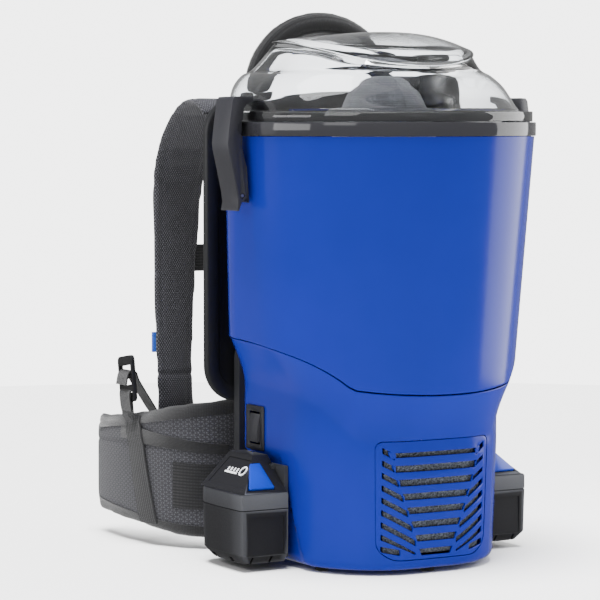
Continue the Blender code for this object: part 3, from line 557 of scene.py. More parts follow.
# %% [markdown]
# The tank is drawn as one closed loft: up the outside, over the rim, down the inside, across the floor to
# the hole under the filter, and back underneath. The bottom rings curl in by a millimetre. That small
# radius is what catches the light along the seam and makes two mouldings look like two.

# %% Tank shell
TAPER_FROM = 0.19


def tank_ring(z_of, inset=0.0):
    """A ring of the tank's skin at a height for each point."""
    ring = [(*mix(TANK_FOOT, TANK_TOP, (z_of(i) - TAPER_FROM) / (RIM_Z - TAPER_FROM))[i], z_of(i))
            for i in range(len(SEAM))]
    return inwards(ring, inset) if inset else ring


def tank_level(rise):
    """Height of a point of the tank at a rise above the seam, as a share of the way to the rim."""
    return lambda i: SEAM[i] + rise * (RIM_Z - GAP - SEAM[i])


curl = [tank_ring(lambda i, up=up: SEAM[i] + up * MM, inset * MM)
        for up, inset in ((0.0, 1.3), (0.15, 0.75), (0.5, 0.3), (1.1, 0.05), (2.0, 0.0))]
skin = curl + [tank_ring(tank_level(0.02 + 0.98 * s / 22)) for s in range(1, 23)]
lining = [inwards(ring, WALL) for ring in skin[:0:-3]]
floor_top = inwards(tank_ring(lambda i: DECK_Z + WALL), WALL)
floor_under = inwards(tank_ring(lambda i: DECK_Z), WALL)
HOLE = 0.35
hole_top, hole_under = [[(x * HOLE, y * HOLE, z) for x, y, z in ring] for ring in (floor_top, floor_under)]
above = [ring for ring in lining if min(p[2] for p in ring) > DECK_Z + 0.012]
below = [inwards(skin[4], WALL)]
tank_rings = [hole_top, floor_top, *above[::-1], *skin[::-1], *below, floor_under, hole_under]
tank_shell = piece("tank_shell", loft(tank_rings, closed=True), BLUE, "vacuum_body", ["tank"],
                   50)
print("tank", len(tank_shell.data.polygons), "faces")

# %% [markdown]
# The base is drawn the same way, from its sole to just under the seam. It widens only in the last 50 mm,
# with a curve that starts slowly, so the flank has a soft shoulder. Over each battery the wall steps in
# by a few millimetres under a level ledge, which is the room a hand needs to lift the pack out.

# %% Base shell
LEDGE_Z, LEDGE_STEP = 0.1105, 0.0028
SOLE_ROUND = 0.008
BASE_TOP_GAP = 0.0012


def ease(value):
    """A smooth step from 0 to 1."""
    value = min(max(value, 0.0), 1.0)
    return value * value * (3 - 2 * value)


def base_point(i, z):
    """A point of the base's plain skin: it widens just under the seam."""
    straight = mix(BASE_FOOT, BASE_WAIST, min(max(z / 0.12, 0), 1))[i]
    widening = max(1 - max(SEAM[i] - z, 0.0) / FLARE, 0.0) ** 1.5
    return mix([straight], [TANK_FOOT[i]], widening)[0]


def base_skin(i, z):
    """The skin with the step over each battery taken in."""
    x, y = base_point(i, z)
    front = 0.006 - (LEDGE_Z - z) * 0.40
    share = ease((y - front) / 0.004) * ease((LEDGE_Z - z) / 0.003) * ease((abs(x) - 0.085) / 0.015)
    return x - math.copysign(LEDGE_STEP * share, x), y, z


def base_ring(height, inset=0.0):
    """A ring of the base at a height for each point."""
    ring = [base_skin(i, height(i)) for i in range(len(SEAM))]
    return inwards(ring, inset) if inset else ring


def base_level(share):
    """Height of a point of the base, as a share of the way from its rounded sole to the seam."""
    low = BASE_Z + SOLE_ROUND
    return lambda i: low + share * (SEAM[i] - BASE_TOP_GAP - 0.002 - low)


sole = []
for step in range(6):
    turn = math.radians(18 * step)
    sole.append(base_ring(lambda i, up=1 - math.cos(turn): BASE_Z + SOLE_ROUND * up,
                          SOLE_ROUND * (1 - math.sin(turn))))
wall = [base_ring(base_level(s / 60)) for s in range(1, 61)]
lip = [base_ring(lambda i, down=down: SEAM[i] - BASE_TOP_GAP - down * MM, inset * MM)
       for down, inset in ((1.2, 0.05), (0.5, 0.3), (0.15, 0.75), (0.0, 1.3))]
inside = [inwards(ring, WALL) for ring in (wall[-1], wall[48], wall[36], wall[24], wall[12], sole[-1])]
inner_floor = [(x, y, BASE_Z + WALL) for x, y, z in inwards(sole[-1], 0.010)]
base_shell = piece("base_shell", loft([*sole, *wall, *lip, *inside, inner_floor]), BLUE, "vacuum_body",
                   ["base_housing"], 50)
print("base", len(base_shell.data.polygons), "faces")

# %% [markdown]
# The grille is a flat plate first: its outline and its slots are drawn as one filled curve, whose bevel
# rounds every edge at once. The plate is then sliced into narrow upright strips and bent onto the
# casing's front. The slots fan out: level in the middle, where the foam is nearest, and slanting at both
# sides.

# %% Grille outlines
def round_off(points, radius, steps=4):
    """An outline with every corner turned into a small arc."""
    smooth = []
    for i, corner in enumerate(points):
        here, before, after = Vector(corner), Vector(points[i - 1]), Vector(points[(i + 1) % len(points)])
        into, out = (before - here), (after - here)
        reach = min(radius, into.length * 0.45, out.length * 0.45)
        start, end = here + into.normalized() * reach, here + out.normalized() * reach
        for k in range(steps + 1):
            t = k / steps
            smooth.append(tuple(start * (1 - t) ** 2 + here * 2 * t * (1 - t) + end * t * t))
    return smooth


def grille_outline(grow):
    """The panel's outline in X and Z: it narrows downwards and its lower corners are cut off."""
    half = [(0.0480, 0.0145), (0.0630, 0.0260), (0.0655, 0.1320)]
    both = half + [(-x, z) for x, z in reversed(half)]
    both = [(x + math.copysign(grow, x), z + math.copysign(grow, z - 0.07)) for x, z in both]
    return round_off(both, 0.009, 6)


def grille_slots():
    """The outlines of the slots: eight level ones, and nine slanting ones at each side."""
    outlines = []
    for row in range(8):
        z = 0.0215 + 0.0139 * row
        half = 0.0168 + 0.0342 * row / 7
        outlines.append([(-half, z - 0.0034), (half, z - 0.0034), (half + 0.0026, z + 0.0034),
                         (-half - 0.0026, z + 0.0034)])
    for row in range(9):
        top = 0.1265 - 0.0122 * row
        inner = min(0.0585, 0.0640 - 0.0050 * row - (0.0 if row else 0.004))
        inner = max(inner - 0.0115, 0.0235)
        drop = 0.56 * (0.0590 - inner)
        low = max(top - drop - 0.0058, 0.0190)
        if row == 8:
            inner, low = 0.0400, 0.0190
            drop = top - low - 0.0058
        slant = [(inner, top - drop), (0.0590, top), (0.0590, top - 0.0058), (inner, low)]
        outlines += [slant, [(-x, z) for x, z in slant]]
    return outlines


print(len(grille_slots()), "slots")

# %% [markdown]
# The casing's front skin is tabled at a grid of points, so that any point of the plate can be laid on it.

# %% The bent grille panel
FRONT_X, FRONT_Z = np.linspace(-0.080, 0.080, 81), np.linspace(0.004, 0.125, 31)
FRONT_Y = []
for z in FRONT_Z:
    front = sorted(point for point in (base_point(i, z) for i in range(len(SEAM))) if point[1] < -0.03)
    FRONT_Y.append(np.interp(FRONT_X, [p[0] for p in front], [p[1] for p in front]))
FRONT_Y = np.array(FRONT_Y)


def front_y(x, z):
    """Y of the casing's front skin at a point, from a table of levels."""
    level = min(max((z - FRONT_Z[0]) / (FRONT_Z[1] - FRONT_Z[0]), 0), len(FRONT_Z) - 1.001)
    low = int(level)
    ends = [np.interp(x, FRONT_X, FRONT_Y[row]) for row in (low, low + 1)]
    return float(ends[0] + (ends[1] - ends[0]) * (level - low))


def plate_with_holes(name, outlines, thick, edge):
    """A flat plate in X and Y with holes and rounded edges, from a filled curve."""
    curve = bpy.data.curves.new(name, "CURVE")
    curve.dimensions = "2D"
    curve.fill_mode = "BOTH"
    curve.extrude = thick / 2 - edge
    curve.bevel_depth = edge
    curve.bevel_resolution = 1
    curve.offset = -edge
    for outline in outlines:
        spline = curve.splines.new("POLY")
        spline.points.add(len(outline) - 1)
        spline.points.foreach_set("co", [v for u, w in outline for v in (u, w, 0.0, 1.0)])
        spline.use_cyclic_u = True
    holder = bpy.data.objects.new(name, curve)
    bpy.context.scene.collection.objects.link(holder)
    graph = bpy.context.evaluated_depsgraph_get()
    bm = bmesh.new()
    bm.from_mesh(holder.evaluated_get(graph).to_mesh())
    bmesh.ops.remove_doubles(bm, verts=bm.verts[:], dist=1e-6)
    bpy.data.objects.remove(holder, do_unlink=True)
    return bm


PANEL_THICK = 0.0030
SLOT_CORNER, PANEL_EDGE = 0.0012, 0.0006
slot_outlines = [round_off(slot, SLOT_CORNER) for slot in grille_slots()]
panel = plate_with_holes("grille_plate", [grille_outline(0.0)] + slot_outlines, PANEL_THICK, PANEL_EDGE)
for x in np.arange(-0.063, 0.0635, 0.0045):
    bmesh.ops.bisect_plane(panel, geom=panel.verts[:] + panel.edges[:] + panel.faces[:], dist=1e-7,
                           plane_co=(float(x), 0, 0), plane_no=(1, 0, 0))
for vert in panel.verts:
    x, z, t = vert.co
    vert.co = (x, front_y(x, z) + 0.0002 + PANEL_THICK / 2 - t, z)
grille_panel = piece("grille_panel", panel, BLUE, "vacuum_body", ["exhaust_grille"], 45)
print("grille", len(grille_panel.data.polygons), "faces")

# %% [markdown]
# The same outline, grown by half a millimetre, opens the casing for the panel. The hairline left around
# it is the dark joint that shows on the real front. The switch hole and the rear opening are cut the same
# way.

# %% Openings in the base
take_out(base_shell,
         prism(grille_outline(0.0006), "Y", -0.140, -0.080),
         box((-0.085, 0.090, 0.032), (0.085, 0.110, 0.172)),
         box((-0.120, 0.0385, 0.1155), (-0.100, 0.0695, 0.1525)))
base_shell.data.shade_smooth()
base_shell.data.set_sharp_from_angle(angle=math.radians(50))
print("base after cutting", len(base_shell.data.polygons), "faces")

# %% [markdown]
# A pad of foam lies close behind the slots, bent like the panel. Its face is a fine grid whose points are
# pushed in and out at random, because cut foam is never flat, and its cells come from the material.

# %% Foam behind the grille
rng = np.random.default_rng(7)
FOAM_THICK, FOAM_BEHIND = 0.0080, 0.0042
columns, rows = np.linspace(-0.0560, 0.0560, 90), np.linspace(0.0200, 0.1270, 86)
bumps = rng.normal(0.0, 0.00035, (len(rows), len(columns)))
rings = []
for k, z in enumerate(rows):
    face = [(x, front_y(x, z) + FOAM_BEHIND + bumps[k][n], z) for n, x in enumerate(columns)]
    back = [(x, front_y(x, z) + FOAM_BEHIND + FOAM_THICK, z) for x in columns[::-6]]
    rings.append(face + back)
piece("foam_pad", loft(rings), FOAM, "vacuum_body", ["exhaust_foam"], 180)

# %% [markdown]
# ## Rim, seal and clear lid
# The rim is a polished ring with rounded edges. A profile carried round the tank's top outline gives it,
# and gives the lid's flange and the seal as well.

# %% Rim and seal
def carried_round(outline, profile):
    """A closed profile of (outwards, z) carried round an outline."""
    flat = [(*p, 0.0) for p in outline]
    return loft([[(x, y, z) for x, y, _ in inwards(flat, -out)] for out, z in profile], closed=True)


rim_profile = [(0.0007, RIM_Z + 0.0001), (0.0013, RIM_Z + 0.0005), (0.0015, RIM_Z + 0.0012),
               (0.0015, RIM_TOP - 0.0012), (0.0013, RIM_TOP - 0.0005), (0.0007, RIM_TOP - 0.0001),
               (-0.0068, RIM_TOP - 0.0001), (-0.0074, RIM_TOP - 0.0006), (-0.0074, RIM_Z + 0.0006),
               (-0.0068, RIM_Z + 0.0001)]
piece("tank_rim_ring", carried_round(TANK_TOP, rim_profile), GLOSS, "vacuum_body", ["tank_rim"],
      30)
seal_profile = [(-0.0080, RIM_Z + 0.0045), (-0.0078, RIM_TOP - 0.0015), (-0.0086, RIM_TOP - 0.0002),
                (-0.0103, RIM_TOP), (-0.0120, RIM_TOP - 0.0002), (-0.0128, RIM_TOP - 0.0015),
                (-0.0126, RIM_Z + 0.0045)]
piece("lid_seal_ring", carried_round(TANK_TOP, seal_profile), RUBBER, "vacuum_body", ["lid_seal"],
      60)
print("rim at", RIM_Z, "to", RIM_TOP)

# %% [markdown]
# The lid is one clear moulding with three parts: a flat flange on the rim, a wall that leans in, and a
# crowned hood with a lip. Clear plastic shows only where light bends, so both of its skins are modelled,
# 2.2 mm apart, and the lip is a real bead: it draws the dark and bright lines that outline the hood.

# %% Clear lid
LID_TOP, FLANGE_TOP, LID_WALL = 0.5330, 0.4537, 0.0022


def lid_outline(width, front, back, corner):
    """A lid section from above: half an ellipse in front, rounded corners behind."""
    points = []
    for x, start in ((width - corner, 0), (corner - width, 90)):
        for i in range(19):
            angle = math.radians(start + 5 * i)
            points.append((x + corner * math.cos(angle), back - corner + corner * math.sin(angle)))
    side_gap = back - corner
    for i in range(1, 8):
        points.append((-width, side_gap * (1 - i / 8)))
    for i in range(91):
        angle = math.pi * (1 + i / 90)
        points.append((width * math.cos(angle), front * math.sin(angle)))
    for i in range(1, 8):
        points.append((width, side_gap * i / 8))
    return points


def hood_edge(y):
    """Height of the hood's edge: level behind, falling away to the front."""
    return 0.4985 + 0.0243 * (1 - (max(0.050 - y, 0.0) / 0.138) ** 2)


def between_rings(rings, count):
    """A smooth curve of rings through the given ones (Catmull-Rom)."""
    rings = [np.array(ring) for ring in rings]
    ends = [2 * rings[0] - rings[1], *rings, 2 * rings[-1] - rings[-2]]
    made = []
    for a, b, c, d in zip(ends, ends[1:], ends[2:], ends[3:]):
        for t in np.arange(count) / count:
            made.append(0.5 * (2 * b + (c - a) * t + (2 * a - 5 * b + 4 * c - d) * t * t
                               + (3 * b - a - 3 * c + d) * t ** 3))
    return [ring.tolist() for ring in [*made, rings[-1]]]


HOOD = lid_outline(0.0960, 0.0880, 0.0680, 0.030)


def hood_ring(share, crown, grow=0.0, up=0.0):
    """A ring of the hood: a share of its outline, lifted towards its crown."""
    edge = [(x * share, y * share - 0.010 * (1 - share), 0.0) for x, y in HOOD]
    edge = inwards(edge, -grow)
    return [(x, y, hood_edge(y) + crown * (LID_TOP - hood_edge(y)) + up) for x, y, _ in edge]


flange = lid_outline(0.1550, 0.1550, 0.1000, 0.0800)
flange_rings = [inwards([(x, y, z) for x, y in flange], inset) for inset, z in (
    (0.0005, RIM_TOP + GAP), (0.0, RIM_TOP + 0.0010), (0.0, FLANGE_TOP - 0.0008), (0.0008, FLANGE_TOP))]
wall_sizes = ((0.4538, 0.1480, 0.1290, 0.0955, 0.070), (0.4680, 0.1460, 0.0980, 0.0950, 0.066),
              (0.4800, 0.1390, 0.0840, 0.0940, 0.058), (0.4900, 0.1260, 0.0760, 0.0920, 0.046),
              (0.4965, 0.1130, 0.0720, 0.0880, 0.040))
under_lip = hood_ring(1.0, 0.0, -0.0006, -0.0012)
wall_sections = [[(x, y, z) for x, y in lid_outline(*size)] for z, *size in wall_sizes]
wall_rings = between_rings([*wall_sections, under_lip], 5)
lip_bead = [hood_ring(1.0, 0.0, grow * MM, up * MM) for grow, up in (
    (0.6, -1.3), (1.5, -0.9), (1.9, 0.0), (1.5, 0.8), (0.6, 1.1))]
crown_rings = [hood_ring(share, 1 - share ** 2.3, 0.0, 0.0011 * share)
               for share in (0.97, 0.93, 0.87, 0.80, 0.70, 0.60, 0.50, 0.40, 0.30, 0.20, 0.12, 0.06)]
lid_skin = [*flange_rings, *wall_rings, *lip_bead, *crown_rings]
lining = [[(x, y, z - LID_WALL) for x, y, z in inwards(ring, 0.0024)]
          for ring in [*wall_rings[:-1], *crown_rings[1:]]]
mouth = [(x, y, RIM_TOP + GAP) for x, y, z in lining[0]]
lid_shell = piece("clear_lid_shell", loft([*lid_skin[::-1], mouth, *lining]), CLEAR, "lid", ["lid"],
                  60)
print("lid", len(lid_shell.data.polygons), "faces")

# %% [markdown]
# ## Filter, inlet and motor
# A cloth dome stands over the hole in the tank's floor and shows through the lid. It is turned from a
# smooth profile, then puckered a little into the eight panels that it was sewn from, with a ridge at each
# seam.

# %% Filter dome
FILTER_Y = -0.010
PANELS = 8
dome_profile = [(0.0780, 0.2520), (0.0760, 0.2760), (0.0730, 0.3050), (0.0690, 0.3350), (0.0640, 0.3650),
                (0.0590, 0.3950), (0.0530, 0.4250), (0.0470, 0.4460), (0.0395, 0.4620), (0.0300, 0.4750),
                (0.0195, 0.4840), (0.0085, 0.4885), (0.0010, 0.4895)]
COUNT = 128


def dome_ring(radius, z, inset):
    """A ring of the dome, drawn in between its sewn seams."""
    ring = []
    for i in range(COUNT):
        turn = 2 * math.pi * i / COUNT
        seam = abs(math.cos(turn * PANELS / 2)) ** 24
        pucker = 1 - 0.010 * (1 - abs(math.sin(turn * PANELS / 2)))
        r = max(radius - inset, 0.0004) * pucker + 0.0008 * seam
        ring.append((r * math.cos(turn), FILTER_Y + r * math.sin(turn), z - inset * 0.5))
    return ring


outer = between_rings([dome_ring(r, z, 0.0) for r, z in dome_profile], 3)
inner = [dome_ring(r, z, 0.0030) for r, z in dome_profile[::-1]]
filter_dome = piece("filter_dome", loft([*outer, *inner], closed=True), FILTER_CLOTH, "vacuum_body",
                    ["cone_filter"], 80)


def lay_cloth(made, measure):
    """Writes how far along and across the cloth each point lies, for the weave to follow."""
    spots = made.data.attributes.new("cloth", "FLOAT_VECTOR", "POINT")
    points = np.empty(len(made.data.vertices) * 3)
    made.data.vertices.foreach_get("co", points)
    points = points.reshape(-1, 3) - (0, AXIS_Y, 0)
    spots.data.foreach_set("vector", np.asarray(measure(points), float).ravel())


def about_dome(points):
    """Around and up the dome, in metres."""
    turn = np.arctan2(points[:, 1] - FILTER_Y, points[:, 0])
    return np.stack([turn * 0.060, points[:, 2], np.zeros(len(points))], axis=1)


lay_cloth(filter_dome, about_dome)
print("filter", len(filter_dome.data.polygons), "faces")

# %% [markdown]
# The hose comes in through the lid's rear wall, and its elbow turns down over the filter. The elbow and
# the turning collar are tubes, so each is a row of circles along a path, with a proud ring at the elbow's
# mouth.

# %% Inlet elbow
PORT_AT, PORT_WAY, PORT_R = Vector((0.0800, 0.0120, 0.4790)), Vector((0.5, math.sqrt(0.75), 0.0)), 0.0205
ELBOW_R = 0.030


def tube_rings(stations, side, count=56):
    """Rings about stations of (centre, way, radius)."""
    rings = []
    for centre, way, radius in stations:
        up = side.cross(way)
        rings.append([centre + side * x + up * y for x, y in circle(radius, count)])
    return rings


elbow = [(PORT_AT + PORT_WAY * along, PORT_WAY, 0.0) for along in (0.0815, 0.0600, 0.0420, 0.0360)]
for step in range(13):
    turn = math.radians(7.5 * step)
    centre = (PORT_AT + PORT_WAY * ELBOW_R * (1 - math.sin(turn))
              - Vector((0, 0, ELBOW_R)) * (1 - math.cos(turn)))
    elbow.append((centre, PORT_WAY * math.cos(turn) + Vector((0, 0, 1)) * math.sin(turn),
                  0.0022 if step in (10, 11) else 0.0010 * min(step, 3) / 3))
side = PORT_WAY.cross(Vector((0, 0, 1)))
outside = tube_rings([(c, w, PORT_R + swell) for c, w, swell in elbow], side)
inside = tube_rings([(c, w, PORT_R - 0.0025) for c, w, swell in elbow[::-1]], side)
piece("inlet_elbow", loft([*outside, *inside], closed=True), BLACK, "lid", ["hose_inlet"],
      50)
print("inlet at", [round(v, 3) for v in PORT_AT])

# %% [markdown]
# Two black mouldings are fixed inside the lid. A trim ring is clipped under its flange, hides the seal
# and shows through the clear edge. A duct leads the air from the elbow towards the filter.

# %% Trim ring and duct
trim_profile = [(-0.0125, 0.4436), (-0.0100, 0.4436), (-0.0100, 0.4506), (-0.0104, 0.4510), (-0.0121, 0.4510),
                (-0.0125, 0.4506)]
piece("lid_trim_ring", carried_round(TANK_TOP, trim_profile), BLACK, "lid", (), 30)
# The duct opens towards the filter and closes at the lid's right.
DUCT_Y, DUCT_Z = 0.0450, 0.4720
duct = [(0.0330, 0.0184), (0.0335, 0.0200), (0.0345, 0.0206), (0.0400, 0.0206), (0.0412, 0.0192),
        (0.0600, 0.0190), (0.0900, 0.0190), (0.1060, 0.0182), (0.1150, 0.0150), (0.1195, 0.0100),
        (0.1210, 0.0040)]
duct_skin = [[(x, DUCT_Y + u, DUCT_Z + v) for u, v in circle(r, 56)] for x, r in duct]
duct_bore = [[(x, DUCT_Y + u, DUCT_Z + v) for u, v in circle(r, 56)] for x, r in
             ((0.1185, 0.0030), (0.1050, 0.0150), (0.0600, 0.0165), (0.0345, 0.0170), (0.0330, 0.0176))]
piece("inlet_duct", loft([*duct_skin, *duct_bore], closed=True), BLACK, "lid", (), 50)
print("duct", len(duct_skin), "rings outside,", len(duct_bore), "inside")

# %% [markdown]
# The collar turns in the elbow's mouth and takes the hose. Its middle is ribbed all round for a grip.

# %% Hose collar
collar = [(0.0806, 0.0004), (0.0806, 0.0034), (0.0812, 0.0040), (0.0846, 0.0040), (0.0850, 0.0034),
          (0.0862, 0.0034), (0.0866, 0.0040), (0.0920, 0.0040), (0.0934, 0.0034), (0.0940, 0.0020),
          (0.0940, -0.0030), (0.0825, -0.0030), (0.0825, 0.0004)]
rings = []
for along, swell in collar:
    up = side.cross(PORT_WAY)
    ridge = 0.0006 if 0.0866 < along < 0.0930 and swell > 0.003 else 0.0
    rings.append([PORT_AT + PORT_WAY * along + (side * math.cos(a) + up * math.sin(a))
                  * (PORT_R + swell - ridge * (k % 4 < 2))
                  for k, a in enumerate(np.linspace(0, 2 * math.pi, 96, endpoint=False))])
piece("hose_collar", loft(rings, closed=True), BLACK, "hose_swivel", ["hose_swivel"], 40)
print("collar", len(collar), "rings")

# %% [markdown]
# ## Latches
# Each latch is a lever cast with square shoulders. It is cut from a prism of its side view, hollowed
# behind to clear its bracket, and then every edge is rounded by a bevel. Seen from the front, the lever's
# flank has a curved recess where it clears the rim.

# %% Latch levers, brackets and pins
LATCH_Y, PIN, PIN_BORE = (-0.0120, 0.0210), (0.1630, 0.3710), 0.0023
NOTCH_AT, NOTCH_R, NOTCH_DEEP = (0.1610, 0.4370), 0.0080, 0.0022
LEVER = [(0.1512, 0.4678), (0.1660, 0.4680), (0.1720, 0.4676), (0.1742, 0.4650), (0.1775, 0.4440),
         (0.1799, 0.4225), (0.1792, 0.4160), (0.1745, 0.3960), (0.1700, 0.3760), (0.1684, 0.3650),
         (0.1700, 0.3562),
         (0.1672, 0.3560), (0.1646, 0.3640), (0.1592, 0.3680), (0.1590, 0.4000), (0.1640, 0.4180),
         (0.1620, 0.4560), (0.1580, 0.4608), (0.1512, 0.4627)]


def turn_side(points, sign):
    """Points or corners moved to one side."""
    return [(sign * point[0], *point[1:]) for point in points]


def bar(centre, radius, low, high, count=32):
    """A round bar along Y, as a cutting shape or a pin."""
    x, z = centre
    return prism([(x + u, z + v) for u, v in circle(radius, count)], "Y", low, high)


for hand, sign in SIDES.items():
    x, z = sign * PIN[0], PIN[1]
    notch = (sign * NOTCH_AT[0], NOTCH_AT[1])
    lever = piece(f"latch_lever_{hand}", prism(turn_side(LEVER, sign), "Y", *LATCH_Y), DARK_GREY,
                  f"latch_{hand}", [f"latch_{hand}"])
    hollow = ((sign * 0.1500, LATCH_Y[0] + 0.004, 0.3500), (sign * 0.1665, LATCH_Y[1] - 0.004, 0.4010))
    take_out(lever, box(*hollow),
             bar((x, z), PIN_BORE, -0.03, 0.04),
             bar(notch, NOTCH_R, LATCH_Y[0] - 0.01, LATCH_Y[0] + NOTCH_DEEP),
             bar(notch, NOTCH_R, LATCH_Y[1] - NOTCH_DEEP, LATCH_Y[1] + 0.01))
    soften(lever, 1.0, 3, 25)
    low, high = LATCH_Y[0] + 0.0048, LATCH_Y[1] - 0.0048
    block = [(0.1535, 0.3640), (0.1600, 0.3660), (0.1648, 0.3688), (0.1655, 0.3735), (0.1600, 0.3960),
             (0.1560, 0.4000)]
    bracket = piece(f"latch_block_{hand}", prism(turn_side(block, sign), "Y", low, high), BLACK,
                    "vacuum_body", [f"latch_bracket_{hand}"])
    take_out(bracket, bar((x, z), PIN_BORE, -0.03, 0.04))
    soften(bracket, 0.5, 2)
    pin_ends = [(LATCH_Y[0] + 0.0010, 0.0014), (LATCH_Y[0] + 0.0016, 0.0020), (LATCH_Y[1] - 0.0016, 0.0020),
                (LATCH_Y[1] - 0.0010, 0.0014)]
    pin = loft([[(x + u, y, z + v) for u, v in circle(r, 32)] for y, r in pin_ends])
    piece(f"latch_pin_turned_{hand}", pin, STEEL, "vacuum_body", [f"latch_pin_{hand}"])
print("latches made")

# %% [markdown]
# ## Batteries
# Each battery has a straight-sided case and a wedge cap. The case carries a joint line near its top, a
# sunk panel on its front and drain slots at the foot. The cap's front slope holds the release button, and
# its outer slope a row of charge marks beside a ring: plain shapes that stand for any gauge.

# %% Battery cases
BATTERY_X, BATTERY_Y, SEAM_Z, CAP_Z = (0.1168, 0.1695), (-0.0200, 0.0800), 0.0770, 0.1100
PACK_CORNER, RAILS_Y = 0.026, (0.010, 0.050)


def battery_outline(inset):
    """A battery from above: straight against the dock, rounded at its outer rear corner."""
    x0, x1, y0, y1 = BATTERY_X[0], BATTERY_X[1] - inset, BATTERY_Y[0] + inset, BATTERY_Y[1] - inset
    points = [(x0, y0), (x1 - 0.0045, y0), (x1 - 0.0014, y0 + 0.0010), (x1, y0 + 0.0040),
              (x1 + 0.0007, 0.004), (x1 + 0.001, 0.025), (x1 + 0.0006, 0.044)]
    for i in range(13):
        angle = math.radians(90 * i / 12)
        points.append((x1 - PACK_CORNER + PACK_CORNER * math.cos(angle),
                       y1 - PACK_CORNER + PACK_CORNER * math.sin(angle)))
    return points + [(x0, y1)]


def grooves(sign):
    """The two grooves that run on the dock's rails."""
    return [box((sign * 0.1100, y - 0.0035, -0.01), (sign * 0.1205, y + 0.0035, 0.13)) for y in RAILS_Y]


CASE_LEVELS = ((0.0070, 0.0085), (0.0076, 0.0075), (0.0150, 0.0020), (0.0170, 0.0008), (0.0600, 0.0),
               (0.0606, 0.0), (0.0608, 0.0008), (0.0614, 0.0008), (0.0616, 0.0), (0.0750, 0.0),
               (0.0764, 0.0006), (0.0767, 0.0014))
for hand, sign in SIDES.items():
    rings = [[(sign * x, y, z) for x, y in battery_outline(inset)] for z, inset in CASE_LEVELS]
    case = piece(f"battery_shell_{hand}", loft(rings), BATTERY, f"battery_{hand}", [f"battery_case_{hand}"],
                 28)
    front = [box((sign * 0.1215, -0.0300, 0.0165), (sign * 0.1610, BATTERY_Y[0] + 0.0011, 0.0540))]
    slots = [box((sign * x, -0.0300, 0.0000), (sign * (x + 0.0022), -0.0090, 0.0140))
             for x in (0.1330, 0.1545)]
    flank = [box((sign * 0.1560, y, 0.0000), (sign * 0.1720, y + 0.0060, 0.0125))
             for y in (0.0060, 0.0420)]
    take_out(case, *grooves(sign), *front, *slots, *flank)
    case.data.shade_smooth()
    case.data.set_sharp_from_angle(angle=math.radians(28))
print("cases", len(case.data.polygons), "faces")


# %% [markdown]
# The cap's parts lie on its two slopes, so two helpers place blocks by how far they are along each slope.

# %% Battery caps and buttons
def on_slope(sign, outline, low, high):
    """A block on the cap's front slope: (x, distance up the slope), from one depth to another."""
    up = Vector((0, 0.0400, CAP_Z - SEAM_Z)).normalized()
    out = Vector((0, -up.z, up.y))
    foot = Vector((0, -0.0180, SEAM_Z))
    return loft([[foot + Vector((sign * x, 0, 0)) + up * s + out * depth for x, s in outline]
                 for depth in (low, high)])


def on_flank(sign, outline, low, high):
    """A block on the cap's outer slope: (y, distance down from its top edge)."""
    down = Vector((0.0310, 0, SEAM_Z - CAP_Z)).normalized()
    out = Vector((-down.z, 0, down.x))
    top = Vector((0.1340, 0, CAP_Z))
    points = [[top + Vector((0, y, 0)) + down * s + out * depth for y, s in outline]
              for depth in (low, high)]
    return loft([[(sign * x, y, z) for x, y, z in ring] for ring in points])


MARK_LOW, MARK_HIGH = -0.0007, 0.0001
RING_Y, RING_DOWN, RING_OUT, RING_IN = 0.0175, 0.0195, 0.0058, 0.0042
TICK_FROM, TICK_PITCH, TICK_WIDE = 0.0272, 0.0062, 0.0022


def charge_marks(hand, sign):
    """The inlaid marks on a cap's outer slope: a strip, four ticks on it and a ring before them."""
    def mark(name, bm):
        piece(f"{name}_{hand}", bm, MARKS, f"battery_{hand}", ())

    def bar_mark(y0, y1, down0, down1):
        return on_flank(sign, [(y0, down0), (y1, down0), (y1, down1), (y0, down1)], MARK_LOW, MARK_HIGH)

    mark("charge_strip", bar_mark(0.0260, 0.0500, 0.0225, 0.0245))
    for n in range(4):
        y = TICK_FROM + TICK_PITCH * n
        mark(f"charge_tick_{n + 1}", bar_mark(y, y + TICK_WIDE, 0.0175, 0.0218))
    rings = []
    for radius, depth in ((RING_OUT, MARK_LOW), (RING_OUT, MARK_HIGH), (RING_IN, MARK_HIGH),
                          (RING_IN, MARK_LOW)):
        ring = on_flank(sign, [(RING_Y + u, RING_DOWN + v) for u, v in circle(radius, 40)],
                        depth, depth + 0.001)
        ring.verts.ensure_lookup_table()
        rings.append([v.co.copy() for v in ring.verts[:40]])
        ring.free()
    mark("charge_ring", loft(rings, closed=True))


for hand, sign in SIDES.items():
    foot = [(0.1168, -0.0180), (0.1650, -0.0180), (0.1650, 0.0740), (0.1168, 0.0740)]
    roof = [(0.1168, 0.0220), (0.1340, 0.0220), (0.1340, 0.0700), (0.1168, 0.0700)]
    cap = piece(f"battery_cap_{hand}", loft([[(sign * x, y, z) for x, y in ring]
                                             for ring, z in ((foot, SEAM_Z), (roof, CAP_Z))]),
                BATTERY, f"battery_{hand}", [f"battery_top_{hand}"])
    pocket = [(0.1285, 0.0045), (0.1595, 0.0045), (0.1440, 0.0400), (0.1310, 0.0400)]
    gauge = [(0.0010, 0.0060), (0.0620, 0.0060), (0.0660, 0.0390), (-0.0080, 0.0390)]
    take_out(cap, *grooves(sign), on_slope(sign, pocket, -0.0045, 0.0200),
             on_flank(sign, gauge, -0.0008, 0.0200))
    soften(cap, 1.0, 3, 25)
    key = round_off([(0.1295, 0.0055), (0.1580, 0.0055), (0.1430, 0.0390), (0.1320, 0.0390)], 0.0012)
    button = piece(f"release_key_{hand}", on_slope(sign, key, -0.0015, 0.0022), BUTTON_BLUE,
                   f"release_{hand}", [f"battery_release_{hand}"])
    soften(button, 0.6, 2)
    charge_marks(hand, sign)
print("caps, keys and charge marks made")

